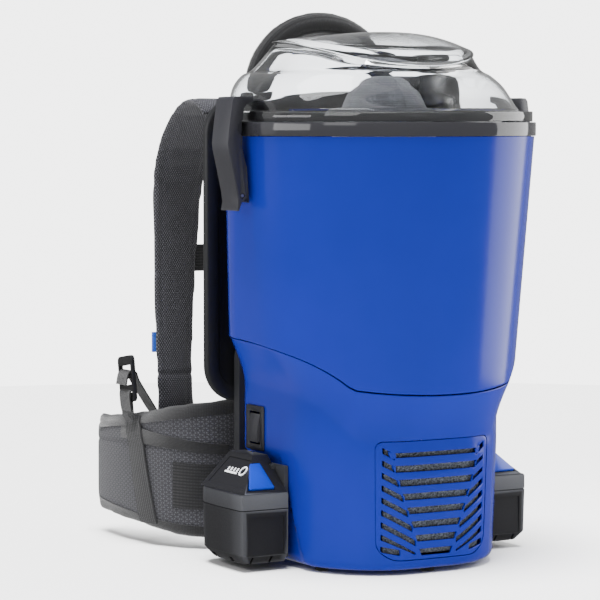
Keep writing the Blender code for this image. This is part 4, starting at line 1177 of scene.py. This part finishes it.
# %% [markdown]
# ## Switch
# A rocker in a thin bezel on the left wall. The rocker's face is a shallow arc, higher at its lower end,
# so it shows as a crescent. The bezel is a flat frame whose edges are only just broken.

# %% Switch
bezel_outline = rounded(0.0180, 0.0225, 0.0020, 5, (0.0540, 0.1340))
bezel = piece("switch_frame", prism(bezel_outline, "X", -0.1138, -0.1123), DARK_GREY, "vacuum_body",
              ["switch_bezel"])
take_out(bezel, box((-0.1200, 0.0430, 0.1175), (-0.1050, 0.0650, 0.1505)))
soften(bezel, 0.4, 2)
arc = [(-0.1143 - 0.0020 * (1 - (t / 12 - 1) ** 2) + 0.0015 * (t / 12 - 1), 0.1195 + 0.0290 * t / 24)
       for t in range(25)]
face = arc + [(-0.1060, 0.1455), (-0.1060, 0.1225)]
rocker = piece("switch_key", prism(face, "Y", 0.0440, 0.0640), DARK_GREY, "switch_rocker", ["switch_rocker"])
soften(rocker, 0.4, 2, 50)
print("switch made")

# %% [markdown]
# ## Back plate and handle feet
# The plate has a thick rounded border and a sunk panel on both faces, which stiffens it at little weight.
# One outline, repeated at several insets and depths, gives the whole profile.

# %% Back plate
PLATE_Y, PLATE_X, PLATE_Z = (0.1120, 0.1210), 0.1380, (0.1550, 0.4690)


def plate_ring(inset, y):
    """The plate's outline, moved in by an inset, at a depth."""
    half = (PLATE_Z[1] - PLATE_Z[0]) / 2
    outline = rounded(PLATE_X - inset, half - inset, 0.0380 - min(inset, 0.03), 14, (0, sum(PLATE_Z) / 2))
    return [(u, y, v) for u, v in outline]


front, back = PLATE_Y
profile = [(0.0170, front + 0.0022), (0.0155, front + 0.0014), (0.0140, front + 0.0002), (0.0030, front),
           (0.0010, front + 0.0008), (0.0, front + 0.0028), (0.0, back - 0.0028), (0.0010, back - 0.0008),
           (0.0030, back), (0.0140, back), (0.0155, back - 0.0010), (0.0170, back - 0.0015)]
piece("back_plate_moulding", loft([plate_ring(*step) for step in profile]), BLACK, "vacuum_body",
      ["back_plate"], 50)
for hand, sign in SIDES.items():
    outline = rounded(0.0170, 0.0045, 0.0030, 6, (sign * 0.0790, PLATE_Z[1] + 0.0048))
    foot = piece(f"handle_clamp_{hand}", prism(outline, "Y", 0.1090, 0.1240), BLACK, "vacuum_body",
                 [f"handle_foot_{hand}"])
    soften(foot, 0.8, 2)
for node, material in (("rear_cover", BLACK), ("plate_mount", BLACK), ("fan_housing", BLACK),
                       ("filter_ring", BLACK), ("motor_mount", BLACK), ("motor_can", STEEL),
                       ("motor_shaft", STEEL), ("bearing_top", STEEL), ("bearing_bottom", STEEL),
                       ("impeller", ALUMINIUM), ("control_board", BOARD), ("battery_dock_left", BLACK),
                       ("battery_dock_right", BLACK), ("plate_screw_left", STEEL),
                       ("plate_screw_right", STEEL), ("sternum_buckle", BLACK),
                       *[(f"foot_{n}", RUBBER) for n in range(1, 6)]):
    bpy.data.objects[node].material_slots[0].material = material
print("plate and working parts finished")

# %% [markdown]
# ## Padded fabric
# A pad is two layers of cloth sewn round foam. It is drawn here as a thin flat bag along a route, given
# an even mesh, and blown up from inside with cloth physics, so that it crowns in the middle and draws in
# at the edges as stuffing makes it do. Its travel is capped, because foam is stiffer than air. The seams
# are pulled in afterwards. The left side is made first, and the right is its mirror image.

# %% Routes
def eased(rows, each=6):
    """Rows of numbers with more rows between them, on a smooth curve through all."""
    rows = [np.array(row, float) for row in rows]
    whole = [2 * rows[0] - rows[1], *rows, 2 * rows[-1] - rows[-2]]
    out = []
    for a, b, c, d in zip(whole, whole[1:], whole[2:], whole[3:]):
        for step in range(each):
            t = step / each
            out.append(0.5 * (2 * b + (c - a) * t + (2 * a - 5 * b + 4 * c - d) * t ** 2
                              + (3 * b - a - 3 * c + d) * t ** 3))
    return out + [rows[-1]]


def follow(centres, widths):
    """Stations along a route: centre, way, width and thickness directions, distance and half width."""
    stations, distance = [], 0.0
    for i, (centre, width) in enumerate(zip(centres, widths)):
        way = (centres[min(i + 1, len(centres) - 1)] - centres[max(i - 1, 0)]).normalized()
        distance += (centre - centres[i - 1]).length if i else 0.0
        face = way.cross(width).normalized()
        stations.append((centre, way, width.normalized(), face, distance, width.length))
    return stations


def flat_bag(stations, thick, corner, allowance):
    """A closed flat bag along stations, its corners rounded off, cut wider by what filling draws in."""
    whole = stations[-1][4]
    rings = []
    for centre, way, width, face, distance, half in stations:
        near = min(distance, whole - distance)
        cut = 0.0
        if near < corner:
            cut = corner - math.sqrt(max(corner ** 2 - max(corner - near, 0.0) ** 2, 0.0))
        shape = rounded(max(half + allowance - cut, 0.004), thick / 2, thick * 0.48, 4)
        rings.append([centre + width * u + face * v for u, v in shape])
    return loft(rings)


def about_route(stations):
    """Measures points by how far along and across a route they are."""
    middles = np.array([s[0] for s in stations])
    ways, widths = np.array([s[1] for s in stations]), np.array([s[2] for s in stations])
    distances = np.array([s[4] for s in stations])

    def measure(points):
        nearest = np.array([np.argmin(((middles - p) ** 2).sum(axis=1)) for p in points])
        apart = points - middles[nearest]
        along = distances[nearest] + (apart * ways[nearest]).sum(axis=1)
        across = (apart * widths[nearest]).sum(axis=1)
        return np.stack([along, across, np.zeros(len(points))], axis=1)
    return measure


print("route helpers ready")

# %% [markdown]
# The bag's mesh squares are 4 mm. The pressure is what holds the layers apart, and gravity is off because
# foam carries its own weight. Twenty frames are enough for the cloth to settle against its cap.

# %% Filling a bag
PRESSURE, FRAMES, SQUARE_MM = 4.0, 20, 4.0


def read_points(made, what="vertices", field="co"):
    """A mesh's point positions or normals as an array."""
    values = np.empty(len(getattr(made.data, what)) * 3)
    getattr(made.data, what).foreach_get(field, values)
    return values.reshape(-1, 3)


def write_points(made, points):
    """New positions for a mesh's points."""
    made.data.vertices.foreach_set("co", np.asarray(points, float).ravel())
    made.data.update()


def fill(made, cap_mm):
    """Stuffs a flat bag: an even mesh, pressure from inside, travel held to a cap, one subdivision."""
    even = made.modifiers.new("even mesh", "REMESH")
    even.mode = "VOXEL"
    even.voxel_size = SQUARE_MM * MM
    apply_modifiers(made)
    start = read_points(made)
    bag = made.modifiers.new("stuffing", "CLOTH")
    bag.settings.quality = 5
    bag.settings.mass = 0.3
    bag.settings.use_pressure = True
    bag.settings.uniform_pressure_force = PRESSURE
    bag.settings.effector_weights.gravity = 0.0
    bag.collision_settings.use_collision = False
    bag.point_cache.frame_end = FRAMES
    for number in range(1, FRAMES + 1):
        bpy.context.scene.frame_set(number)
    apply_modifiers(made)
    travel = read_points(made) - start
    length = np.linalg.norm(travel, axis=1, keepdims=True)
    write_points(made, start + travel * np.minimum(1.0, cap_mm * MM / np.maximum(length, 1e-9)))
    bpy.context.scene.frame_set(1)
    print("  ", made.name, "moved up to", round(float(length.max()) * 1000, 1), "mm, held to", cap_mm)
    ease = made.modifiers.new("eased", "SMOOTH")
    ease.factor = 0.5
    ease.iterations = 9
    finer = made.modifiers.new("finer", "SUBSURF")
    finer.levels = 1
    apply_modifiers(made)
    made.data.shade_smooth()
    return made


def stitch(made, depth_at):
    """Pulls a pad in along its seams; depth_at gives millimetres from the distances along and across."""
    cloth_at = np.empty(len(made.data.vertices) * 3)
    made.data.attributes["cloth"].data.foreach_get("vector", cloth_at)
    along, across = cloth_at.reshape(-1, 3)[:, 0], cloth_at.reshape(-1, 3)[:, 1]
    normals = read_points(made, "vertex_normals", "vector")
    write_points(made, read_points(made) - normals * (depth_at(along, across) * MM)[:, None])


def groove(distance, width_mm=2.2):
    """How deep a seam is at a distance from its line, from 1 down to 0."""
    return np.exp(-(distance / (width_mm * MM)) ** 2)


def twin(made, name, *stands_for, finish="black_mesh"):
    """The mirror image of a left-hand piece, as the right-hand one."""
    bm = bmesh.new()
    bm.from_mesh(made.data)
    bmesh.ops.scale(bm, vec=(-1, 1, 1), verts=bm.verts[:])
    bmesh.ops.translate(bm, vec=(0, -AXIS_Y, 0), verts=bm.verts[:])
    return piece(name, bm, made.data.materials[0], "vacuum_body", stands_for, 80)


def mirror_all(pieces, stands_for):
    """The twins of several left-hand pieces; a table says which of them stand for a solid."""
    for made in pieces:
        stands = [stands_for[made.name]] if made.name in stands_for else []
        twin(made, made.name.replace("left", "right"), *stands, finish="black_webbing")


print("stuffing at", PRESSURE, "over", FRAMES, "frames")

# %% [markdown]
# ## Shoulder straps
# Each strap leaves the plate's top, goes over the shoulder and hangs to the belt. It keeps its full width
# over the shoulder and narrows below the chest, always from its inner edge. A row of stitching runs
# inside each edge, and one row crosses the strap where the webbing is sewn in.

# %% Shoulder straps
STRAP_ROUTE = [(0.1275, 0.4470), (0.1420, 0.4600), (0.1650, 0.4640), (0.1880, 0.4570), (0.2090, 0.4410),
               (0.2270, 0.4200), (0.2380, 0.3940), (0.2430, 0.3600), (0.2450, 0.3100), (0.2440, 0.2600),
               (0.2400, 0.2100), (0.2340, 0.1600), (0.2300, 0.1200)]
STRAP_OUT, STRAP_IN, STRAP_NARROWS = 0.1300, 0.0700, 0.0230
line = eased([(y, z, STRAP_IN + STRAP_NARROWS * max(0.0, (min(i, 11) / 11 - 0.45) / 0.55))
              for i, (y, z) in enumerate(STRAP_ROUTE)])
centres = [Vector((-(STRAP_OUT + inner) / 2, y, z)) for y, z, inner in line]
strap_line = follow(centres, [Vector((-(STRAP_OUT - inner) / 2, 0, 0)) for y, z, inner in line])
strap_halves = np.array([s[5] for s in strap_line])
strap_marks = np.array([s[4] for s in strap_line])
strap = piece("shoulder_pad_left", flat_bag(strap_line, 0.0070, 0.0080, 0.0058), STRAP_MESH, "vacuum_body",
              ["shoulder_strap_left"], 80)
fill(strap, 2.2)
lay_cloth(strap, about_route(strap_line))
CROSS_SEAM = strap_marks[-1] - 0.0540


def strap_seams(along, across):
    """Two rows inside the edges, and one across near the lower end."""
    edge = np.interp(along, strap_marks, strap_halves) - 0.0055
    return 1.1 * groove(np.abs(np.abs(across) - edge)) + 1.0 * groove(along - CROSS_SEAM)


stitch(strap, strap_seams)
other = twin(strap, "shoulder_pad_right", "shoulder_strap_right")
print("strap", round(float(strap_marks[-1]) * 1000), "mm long,", len(strap.data.polygons), "faces")

# %% [markdown]
# ## Waist belt
# The belt is a lumbar pad with a wing on each side. A wing is honeycomb mesh over 15 mm foam, taller at
# the back than at the front, with rounded front corners. Its edges are bound in plain cloth folded over
# them.

# %% Belt wings and lumbar pad
WING = [(0.0850, 0.1285, 0.0715, 0.0832), (0.1004, 0.1295, 0.0710, 0.0830), (0.1200, 0.1360, 0.0700, 0.0825),
        (0.1380, 0.1500, 0.0680, 0.0815), (0.1510, 0.1720, 0.0650, 0.0805), (0.1590, 0.2000, 0.0610, 0.0795),
        (0.1630, 0.2300, 0.0570, 0.0785), (0.1640, 0.2600, 0.0540, 0.0775), (0.1620, 0.2900, 0.0510, 0.0765),
        (0.1575, 0.3180, 0.0490, 0.0760)]
line = eased(WING, 5)
wing_line = follow([Vector((-x, y, mid)) for x, y, half, mid in line],
                   [Vector((0, 0, half)) for x, y, half, mid in line])
wing = piece("belt_pad_left", flat_bag(wing_line, 0.0095, 0.0120, 0.0030), BELT_MESH, "vacuum_body",
             ["belt_wing_left"], 80)
fill(wing, 2.8)
lay_cloth(wing, about_route(wing_line))
wing_marks = np.array([s[4] for s in wing_line])


def wing_seams(along, across):
    """Two rows of stitching above the middle, where the belt's band is sewn on."""
    return 1.0 * groove(across - 0.0420) + 0.9 * groove(across - 0.0240)


stitch(wing, wing_seams)
other = twin(wing, "belt_pad_right", "belt_wing_right", finish="grey_mesh")

LUMBAR_Y, LUMBAR_Z, LUMBAR_HALF = 0.1295, 0.0830, 0.0710
centres = [Vector((x, LUMBAR_Y, LUMBAR_Z)) for x in np.linspace(0.0975, -0.0975, 24)]
lumbar_line = follow(centres, [Vector((0, 0, LUMBAR_HALF))] * len(centres))
lumbar = piece("lumbar_cushion", flat_bag(lumbar_line, 0.0100, 0.0060, 0.0015), BELT_MESH, "vacuum_body",
               ["lumbar_pad"], 80)
fill(lumbar, 2.6)
lay_cloth(lumbar, about_route(lumbar_line))


def lumbar_seams(along, across):
    """Two upright rows and one level row, which divide the pad into cushions."""
    return (1.5 * groove(np.abs(along - 0.0975) - 0.0400, 3.0) + 1.2 * groove(across, 3.0)
            + 0.8 * groove(np.abs(across) - 0.0620))


stitch(lumbar, lumbar_seams)
print("wing", round(float(wing_marks[-1]) * 1000), "mm long,", len(wing.data.polygons), "faces")

# %% [markdown]
# Tapes and patches lie on the pad's own surface, so they are found by casting rays onto it. A folded
# binding is cast from inside the pad in a fan, from the outer face over the edge to the inner face. A
# flat patch is cast from outside. Each then gets its thickness, so that it stands proud like cloth.

# %% Bindings, bands and patches
def surface_of(made):
    """A search tree of a piece's surface, about the tank's axis."""
    bm = bmesh.new()
    bm.from_mesh(made.data)
    bmesh.ops.translate(bm, vec=(0, -AXIS_Y, 0), verts=bm.verts[:])
    tree = BVHTree.FromBMesh(bm)
    bm.free()
    return tree


def sheet_of(grid, thick):
    """A thin closed sheet over a grid of (point, normal), measured along rows and columns."""
    bm = bmesh.new()
    tag = bm.verts.layers.float_vector.new("cloth")
    layers = []
    for height in (0.0, thick):
        rows, along = [], 0.0
        for r, row in enumerate(grid):
            along += (row[0][0] - grid[r - 1][0][0]).length if r else 0.0
            across, made_row = 0.0, []
            for c, (point, normal) in enumerate(row):
                across += (point - row[c - 1][0]).length if c else 0.0
                vert = bm.verts.new(point + normal * height)
                vert[tag] = (along, across, 0.0)
                made_row.append(vert)
            rows.append(made_row)
        layers.append(rows)
    for rows in layers:
        for low, high in zip(rows, rows[1:]):
            for c in range(len(low) - 1):
                bm.faces.new((low[c], low[c + 1], high[c + 1], high[c]))
    under, over = layers
    last_row, last = len(under) - 1, len(under[0]) - 1
    rim = [(0, c) for c in range(last)] + [(r, last) for r in range(last_row)]
    rim += [(last_row, c) for c in range(last, 0, -1)] + [(r, 0) for r in range(last_row, 0, -1)]
    for (r, c), (s, d) in zip(rim, rim[1:] + rim[:1]):
        bm.faces.new((under[r][c], under[s][d], over[s][d], over[r][c]))
    return bm


wing_face = surface_of(wing)


def folded(stations, side, tall, lift):
    """A binding's grid: at each station, a fan of rays from inside, over the edge to the far face."""
    grid = []
    for centre, way, width, face, distance, half in stations:
        up = Vector((0, 0, side))
        start = centre + up * (half - tall)
        row = []
        for turn in np.radians(np.linspace(0, 180, 15)):
            aim = face * math.cos(turn) + up * math.sin(turn)
            hit, normal = wing_face.ray_cast(start, aim)[:2]
            if hit is None:
                return grid
            normal = normal if normal.dot(aim) > 0 else -normal
            row.append((hit + normal * lift, normal))
        grid.append(row)
    return grid


def on_face(station, z, lift):
    """The point of the wing's outer face at a station and height, lifted off it, and its normal."""
    centre, face = Vector((station[0].x, station[0].y, z)), station[3]
    hit, normal = wing_face.ray_cast(centre - face * 0.05, face)[:2]
    if hit is None:
        hit, normal = wing_face.find_nearest(centre - face * 0.01)[:2]
    normal = normal if normal.dot(face) < 0 else -normal
    return hit + normal * lift, normal


def banded(lines, lift, columns=6):
    """A band's grid along the wing, from its edges at a few depths: (y, top z, bottom z)."""
    depth, top, bottom = np.array(lines).T
    part = [s for s in wing_line if depth[0] <= s[0].y <= depth[-1]]
    grid = []
    for station in part:
        ends = [np.interp(station[0].y, depth, edge) for edge in (top, bottom)]
        grid.append([on_face(station, z, lift) for z in np.linspace(*ends, columns)])
    return grid


def slanted(rows, lift, columns=6):
    """A slanting strip's grid: rows of (z, y from, y to) down the wing, free of it above its upper edge."""
    grid = []
    for z, y0, y1 in rows:
        row = []
        for y in np.linspace(y0, y1, columns):
            station = min(wing_line, key=lambda s: abs(s[0].y - y))
            hit, normal = wing_face.ray_cast(Vector((-0.30, y, z)), Vector((1, 0, 0)))[:2]
            if hit is None or z > station[0].z + station[5] - 0.004:
                row.append((Vector((-0.1725 - lift, y, z)), Vector((-1, 0, 0))))
            else:
                normal = normal if normal.x < 0 else -normal
                row.append((hit + normal * lift, normal))
        grid.append(row)
    return grid


TAPE, TIGHT = 0.0010, 0.0002
inner_part = [s for s in wing_line if 0.004 < s[4] < wing_marks[-1] - 0.0135]
soft = []
for edge, side, tall in (("upper", 1, 0.0130), ("lower", -1, 0.0110)):
    fold = sheet_of(folded(inner_part, side, tall, TIGHT), TAPE)
    soft.append(piece(f"belt_binding_{edge}_left", fold, PLAIN_CLOTH, "vacuum_body", (), 60))
band = [(0.1296, 0.1090, 0.0985), (0.1550, 0.1148, 0.1020), (0.2050, 0.1215, 0.1065),
        (0.2420, 0.1225, 0.1085)]
soft.append(piece("belt_band_left", sheet_of(banded(band, TIGHT), TAPE), PLAIN_CLOTH, "vacuum_body", (),
                  60))
patch = [(0.1310, 0.0880, 0.0410), (0.1640, 0.0900, 0.0420)]
soft.append(piece("belt_patch_left", sheet_of(banded(patch, TIGHT, 12), TAPE), WEBBING, "vacuum_body", (),
                  60))
slant = eased([(0.1590, 0.2090, 0.2330), (0.1380, 0.2060, 0.2320), (0.1000, 0.1960, 0.2220),
               (0.0660, 0.1880, 0.2140), (0.0240, 0.1770, 0.2040)], 7)
over_band = sheet_of(slanted(slant, 0.0018), 0.0016)
soft.append(piece("belt_webbing_left", over_band, WEBBING, "vacuum_body", ["belt_strap_left"],
                  60))
mirror_all(soft, {"belt_webbing_left": "belt_strap_right"})
print("on the belt:", [made.name for made in soft])

# %% [markdown]
# ## Webbing and buckles
# Webbing is a flat ribbon, so it's modelled directly: a thin rectangle carried along its route. From each
# strap's lower end it runs out to a ladder buckle on the belt, through the upper slot and back.

# %% Webbing and ladder buckles
def ribbon(route, widths, thick):
    """A flat ribbon along a route, as a grid for a thin sheet."""
    centres = [Vector(p) for p in route]
    grid = []
    for centre, way, width, face, distance, half in follow(centres, [Vector(w) for w in widths]):
        grid.append([(centre + width * half * s - face * thick / 2, face)
                     for s in (-1.0, -0.5, 0.0, 0.5, 1.0)])
    return sheet_of(grid, thick)


BUCKLE_AT, BUCKLE_LEAN = Vector((-0.1745, 0.2210, 0.1725)), math.radians(-9)
buckle_up = Vector((0, math.sin(-BUCKLE_LEAN), math.cos(BUCKLE_LEAN)))
buckle_along = Vector((0, math.cos(BUCKLE_LEAN), -math.sin(-BUCKLE_LEAN)))


def on_buckle(outline, low, high):
    """A block in the buckle's own plane."""
    return loft([[BUCKLE_AT + buckle_along * u + buckle_up * v + Vector((-t, 0, 0)) for u, v in outline]
                 for t in (low, high)])


buckle_frame = on_buckle(rounded(0.0165, 0.0245, 0.0050, 5), -0.0022, 0.0022)
buckle = piece("ladder_buckle_left", buckle_frame, BLACK, "vacuum_body", ["belt_buckle_left"])
take_out(buckle, *[on_buckle([(-0.0125, low), (0.0125, low), (0.0125, high), (-0.0125, high)], -0.01, 0.01)
                   for low, high in ((-0.0200, -0.0135), (-0.0065, 0.0000), (0.0070, 0.0145))])
soften(buckle, 0.9, 3, 30)
twin(buckle, "ladder_buckle_right", "belt_buckle_right", finish="black_moulding")
tail_in = BUCKLE_AT + buckle_up * 0.0040
tail = eased([(-0.1240, 0.2330, 0.1240), (-0.1360, 0.2340, 0.1340), (-0.1480, 0.2320, 0.1500),
              (-0.1620, 0.2290, 0.1700),
              tuple(tail_in + Vector((0.0045, 0, 0.004))), tuple(tail_in + Vector((-0.0035, 0, 0.003))),
              tuple(tail_in + Vector((-0.0060, 0.002, -0.010)))], 6)
soft = [piece("adjuster_webbing_left", ribbon(tail, [Vector((0, 0.0118, 0.0))] * len(tail), 0.0014), WEBBING,
              "vacuum_body", (), 60)]
loop = eased([(-0.1762, 0.2190, 0.1390), (-0.1775, 0.2195, 0.1480),
              tuple(BUCKLE_AT + buckle_up * -0.0130 + Vector((-0.0035, 0, 0))),
              tuple(BUCKLE_AT + buckle_up * -0.0100 + Vector((0.0040, 0, 0)))], 6)
soft.append(piece("buckle_loop_left", ribbon(loop, [Vector((0, 0.0120, 0.0))] * len(loop), 0.0014), WEBBING,
                  "vacuum_body", (), 60))
tab = [(-0.1290, 0.2440, z) for z in np.linspace(0.2190, 0.1975, 8)]
tab_sheet = ribbon(tab, [Vector((0.0042, 0, 0))] * len(tab), 0.0040)
soft.append(piece("size_tab_left", tab_sheet, BLUE_TAPE, "vacuum_body", (), 60))
chest = [(x, 0.2513, 0.2970) for x in np.linspace(-0.1000, -0.0340, 12)]
soft.append(piece("chest_webbing_left", ribbon(chest, [Vector((0, 0, 0.0145))] * len(chest), 0.0020), WEBBING,
                  "vacuum_body", ["sternum_strap_left"], 60))
mirror_all(soft, {"chest_webbing_left": "sternum_strap_right"})
print("webbing:", [made.name for made in soft])

# %% [markdown]
# ## Carry handle
# A foam core in a woven sleeve, arched between two moulded clamps. A row of stitching runs beside each
# long edge of the sleeve.

# %% Carry handle
HANDLE_FOOT, HANDLE_HALF, HANDLE_RISE = 0.4790, 0.0785, 0.0655
arch = []
for i in range(41):
    angle = math.pi * i / 40
    arch.append(Vector((HANDLE_HALF * math.cos(angle), 0.1165, HANDLE_FOOT + HANDLE_RISE * math.sin(angle))))
across_arch = [Vector((0, 0.0080, 0))] * len(arch)
arch_line = follow(arch, across_arch)
grip_rings = []
for centre, way, width, face, distance, half in arch_line:
    shape = rounded(half + 0.0006, 0.0130, 0.0055, 6)
    grip_rings.append([centre + width * u + face * v for u, v in shape])
grip = piece("handle_grip", loft(grip_rings), PLAIN_CLOTH, "vacuum_body", ["carry_handle"], 80)
fill(grip, 1.6)
lay_cloth(grip, about_route(arch_line))
arch_marks = arch_line[-1][4]


def grip_seams(along, across):
    """A row of stitching beside each edge of the sleeve."""
    return 0.7 * groove(np.abs(across) - 0.0045, 1.6)


stitch(grip, grip_seams)
print("handle", round(arch_marks * 1000), "mm along its arch")
